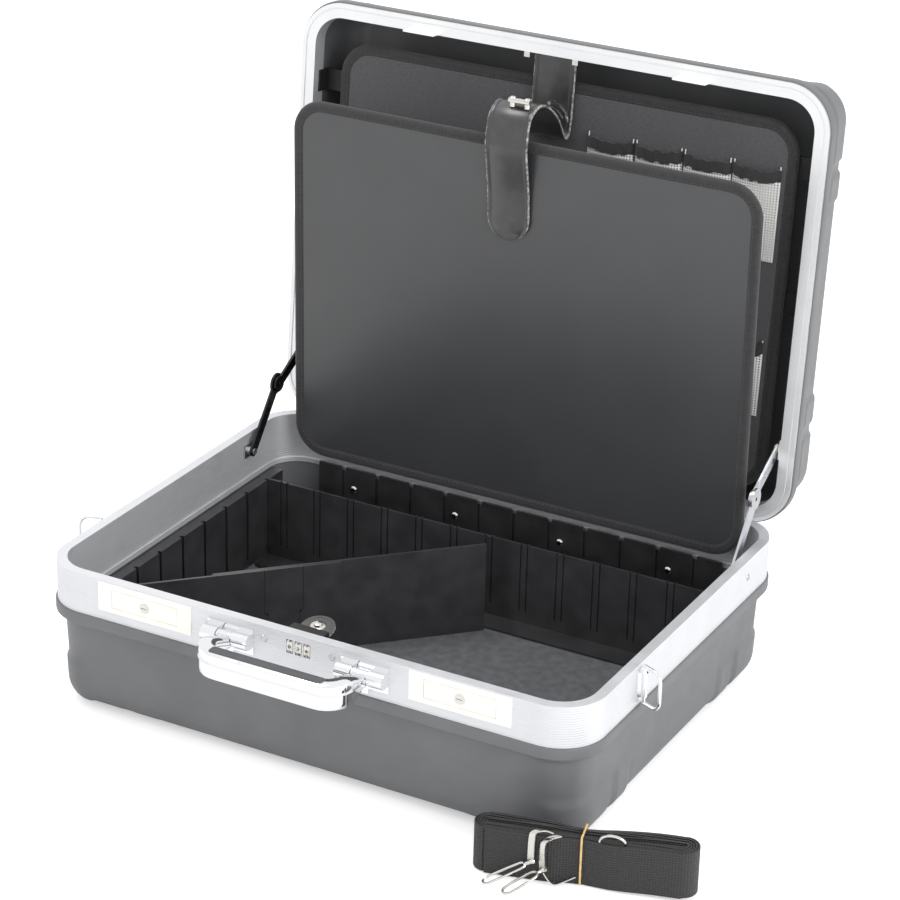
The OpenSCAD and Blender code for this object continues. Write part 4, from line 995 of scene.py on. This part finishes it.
class TOOLCASE_OT_shoulder_strap(bpy.types.Operator):
    """Folded shoulder strap with its band, snap hooks and ring"""

    bl_idname = "toolcase.shoulder_strap"
    bl_label = "Folded shoulder strap"

    def execute(self, context):
        route = bundle_route()
        n, high, thick = len(route), 37.0, 1.5
        web, rings, length = Shape(), [], 0.0
        for i, (x, y) in enumerate(route):
            ahead, behind = Vector(route[min(i + 1, n - 1)]), Vector(route[max(i - 1, 0)])
            along = (ahead - behind).normalized()
            out = Vector((along.y, -along.x)) * thick / 2
            lift = 0.3 + 2.4 * ease((x - 5) / 60) + 1.2 * math.sin(length / 37) ** 2 * (0 if i < 15 else 1)
            low, top = lift, high + lift
            if i:
                length += (Vector(route[i]) - Vector(route[i - 1])).length
            column = [low, low + 0.5] + [low + high * k / 8 for k in range(1, 8)] + [top - 0.5, top]
            # the two edges are half as thick
            full = [0.5] + [1] * (len(column) - 2) + [0.5]
            ring = [(x + out.x * f, y + out.y * f, z) for f, z in zip(full, column)]
            ring += [(2 * x - a, 2 * y - b, z) for a, b, z in ring[::-1]]
            rings.append(ring)
        web.grid(rings, loop=False, closed=True, caps=True)
        made = piece("folded_webbing", web, ["webbing"], "case", BUNDLE, ["shoulder_strap"])

        band = Shape()
        near = [(BAND_X, -9.6 * s, z) for s, z in ((1, 0.9), (1.05, 12), (1.05, 28), (1, 39.6))]
        far = [(BAND_X + 0.2, 9.6 * s, z) for s, z in ((1, 39.8), (1.05, 28), (1.05, 12), (1, 0.9))]
        flat = [(-0.7, -0.4), (0.7, -0.4), (0.7, 0.4), (-0.7, 0.4)]
        band.sweep(near + far, flat, side=(1, 0, 0), loop=True)
        piece("bundle_band", band, ["band"], "case", BUNDLE)

        metal = Shape()
        plate = [(-19, -12.6, 42), (-25, -12.8, 43.2), (-31, -13, 40.5), (-32.4, -13.4, 34)]
        hook_shape(metal, plate, (-32.5, -14.5, 17), (-64, -27, 2.2))
        plate = [(-13, -12.6, 40.5), (-20, -13, 37), (-24.4, -13.6, 31)]
        hook_shape(metal, plate, (-23.5, -15, 12), (-47, -36.5, 2.2))
        strip = [(-23, -14.6, 10), (-18, -14.6, 3), (-13.4, -14.4, 1.8), (-6, -13.2, 5.5), (0, -12.2, 9)]
        flat = [(-1.6, -0.4), (1.6, -0.4), (1.6, 0.4), (-1.6, 0.4)]
        metal.sweep(curve_through(strip, 5), flat, side=(0.2, -0.97, 0.1))
        ring = []
        for i in range(24):
            a = math.pi * i / 12
            ring.append((25 + 9.5 * math.cos(a), -8.4 - 1.6 * math.sin(a), 38.5 + 6.6 * math.sin(a)))
        metal.tube(ring, 1.1, 10, loop=True)
        piece("snap_hooks", metal, ["nickel"], "case", BUNDLE, ["shoulder_strap_hooks"])
        return {"FINISHED"}


class TOOLCASE_OT_dress(bpy.types.Operator):
    """Finishes of the pieces whose solid shape is shown as it is"""

    bl_idname = "toolcase.dress"
    bl_label = "Finishes of the solid pieces"

    def execute(self, context):
        of_node = {"lid_frame": "face", "frame_rivets": "steel"}
        of_slot = {
            "black_abs": "abs",
            "aluminium": "aluminium",
            "chrome": "chrome",
            "ivory_enamel": "enamel",
            "nickel": "nickel",
            "steel": "steel",
            "dark_steel": "oxide",
            "black_sheet": "sheet",
            "mat_foam": "foam",
            "board_cloth": "board",
            "binding": "binding",
            "mesh": "net",
            "leather": "leather",
            "grip_rubber": "rubber",
            "dial_plastic": "dial",
            "webbing": "webbing",
            "lock_black": "nylon",
        }
        for row in frame["record"]["subparts"]:
            made = frame["nodes"][row["node"]]
            mat = MATERIALS[of_node.get(row["node"], of_slot[row["material_slot"]])]
            if not made.material_slots:
                made.data.materials.append(mat)
            for place in made.material_slots:
                place.material = mat
        return {"FINISHED"}


class TOOLCASE_OT_stage(bpy.types.Operator):
    """Camera, floor, even light and the soft lamp above"""

    bl_idname = "toolcase.stage"
    bl_label = "Stage, light and camera"

    def execute(self, context):
        look = context.scene.case_stage
        camera = bpy.data.cameras.new("camera")
        camera.lens, camera.sensor_width = look.lens, 36
        carrier = bpy.data.objects.new("camera", camera)
        context.scene.collection.objects.link(carrier)
        yaw, pitch, roll = -0.490, 0.424, 0.026
        ahead = Vector((math.sin(yaw) * math.cos(pitch), math.cos(yaw) * math.cos(pitch), -math.sin(pitch)))
        right = Vector((math.cos(yaw), -math.sin(yaw), 0))
        up = right.cross(ahead)
        right, up = right * math.cos(roll) + up * math.sin(roll), up * math.cos(roll) - right * math.sin(roll)
        world = Matrix((right, up, -ahead)).transposed().to_4x4()
        world.translation = (1.016, -1.855, 1.1602)
        carrier.matrix_world = world
        camera.clip_end = 50
        context.scene.camera = carrier
        context.scene.view_settings.view_transform = "Standard"

        # white cloth floor: the camera sees it as white paper, the object as a pale floor
        floor = bpy.data.meshes.new("floor")
        s = look.floor_size / 2
        floor.from_pydata([(-s, -s, 0), (s, -s, 0), (s, s, 0), (-s, s, 0)], [], [(0, 1, 2, 3)])
        made = bpy.data.objects.new("floor", floor)
        context.scene.collection.objects.link(made)
        made.location.z = -0.0005
        mat, shader = start_material("white paper floor", srgb("#F4F4F4"), 0.9, ior=1.4)
        vary_colour(mat, shader, srgb("#F4F4F4"), 0.01, 300)
        path = add_node(mat, "LightPath")
        glow = add_node(mat, "Emission", None, {"Color": (1, 1, 1, 1), "Strength": 0.42})
        both = add_node(mat, "AddShader", None, {0: (shader, "BSDF"), 1: (glow, "Emission")})
        inputs = {"Fac": (path, "Is Camera Ray"), 1: (shader, "BSDF"), 2: (both, "Shader")}
        pick = add_node(mat, "MixShader", None, inputs)
        end = next(n for n in mat.node_tree.nodes if n.type == "OUTPUT_MATERIAL")
        mat.node_tree.links.new(pick.outputs["Shader"], end.inputs["Surface"])
        floor.materials.append(mat)

        sky = bpy.data.worlds.new("studio")
        sky.use_nodes = True
        context.scene.world = sky
        sky.node_tree.nodes.clear()
        path = add_node(sky, "LightPath")
        either = {"operation": "MAXIMUM"}
        inputs = {0: (path, "Is Camera Ray"), 1: (path, "Is Glossy Ray")}
        seen = add_node(sky, "Math", either, inputs)
        inputs = {0: (seen, "Value"), 1: (path, "Is Transmission Ray")}
        seen = add_node(sky, "Math", either, inputs)
        inputs = {"Value": (seen, "Value"), "From Min": 0, "From Max": 1, "To Min": look.fill, "To Max": 1.0}
        level = add_node(sky, "MapRange", None, inputs)
        back = add_node(sky, "Background", None, {"Color": (1, 1, 1, 1), "Strength": (level, "Result")})
        add_node(sky, "OutputWorld", None, {"Surface": (back, "Background")})

        lamps = (
            ("soft lamp above", look.key, (-0.55, 0.0, 1.8), 0.8),
            ("soft lamp on the right", look.side, (2.4, -0.5, 1.1), 1.6),
        )
        for name, power, where, wide in lamps:
            lamp = bpy.data.lights.new(name, "AREA")
            lamp.shape, lamp.size, lamp.size_y, lamp.energy = "RECTANGLE", wide, wide * 0.75, power
            hung = bpy.data.objects.new(name, lamp)
            context.scene.collection.objects.link(hung)
            hung.location = where
            hung.rotation_euler = (Vector((0, 0, 0.15)) - hung.location).to_track_quat("-Z", "Y").to_euler()
        return {"FINISHED"}


OPERATORS = [
    TOOLCASE_OT_dress,
    TOOLCASE_OT_shells,
    TOOLCASE_OT_front_board,
    TOOLCASE_OT_rear_board,
    TOOLCASE_OT_straps,
    TOOLCASE_OT_handle,
    TOOLCASE_OT_dials,
    TOOLCASE_OT_shoulder_strap,
    TOOLCASE_OT_stage,
]


class TOOLCASE_PT_panel(bpy.types.Panel):
    """Lists the case's pieces"""

    bl_idname = "TOOLCASE_PT_panel"
    bl_label = "Tool case"
    bl_space_type = "VIEW_3D"
    bl_region_type = "UI"
    bl_category = "Tool case"

    def draw(self, context):
        for owner in (context.scene.case_look, context.scene.case_stage):
            for name in owner.bl_rna.properties.keys():
                if name not in ("rna_type", "name"):
                    self.layout.prop(owner, name)
        for step in OPERATORS:
            self.layout.operator(step.bl_idname)


def register():
    for cls in (CaseLook, CaseStage, *OPERATORS, TOOLCASE_PT_panel):
        bpy.utils.register_class(cls)
    bpy.types.Scene.case_look = bpy.props.PointerProperty(type=CaseLook)
    bpy.types.Scene.case_stage = bpy.props.PointerProperty(type=CaseStage)


def unregister():
    del bpy.types.Scene.case_look
    del bpy.types.Scene.case_stage
    for cls in (TOOLCASE_PT_panel, *reversed(OPERATORS), CaseStage, CaseLook):
        bpy.utils.unregister_class(cls)


def main():
    register()
    make_materials(bpy.context.scene.case_look)
    for step in OPERATORS:
        group, name = step.bl_idname.split(".")
        getattr(getattr(bpy.ops, group), name)()


if __name__ == "__main__":
    main()
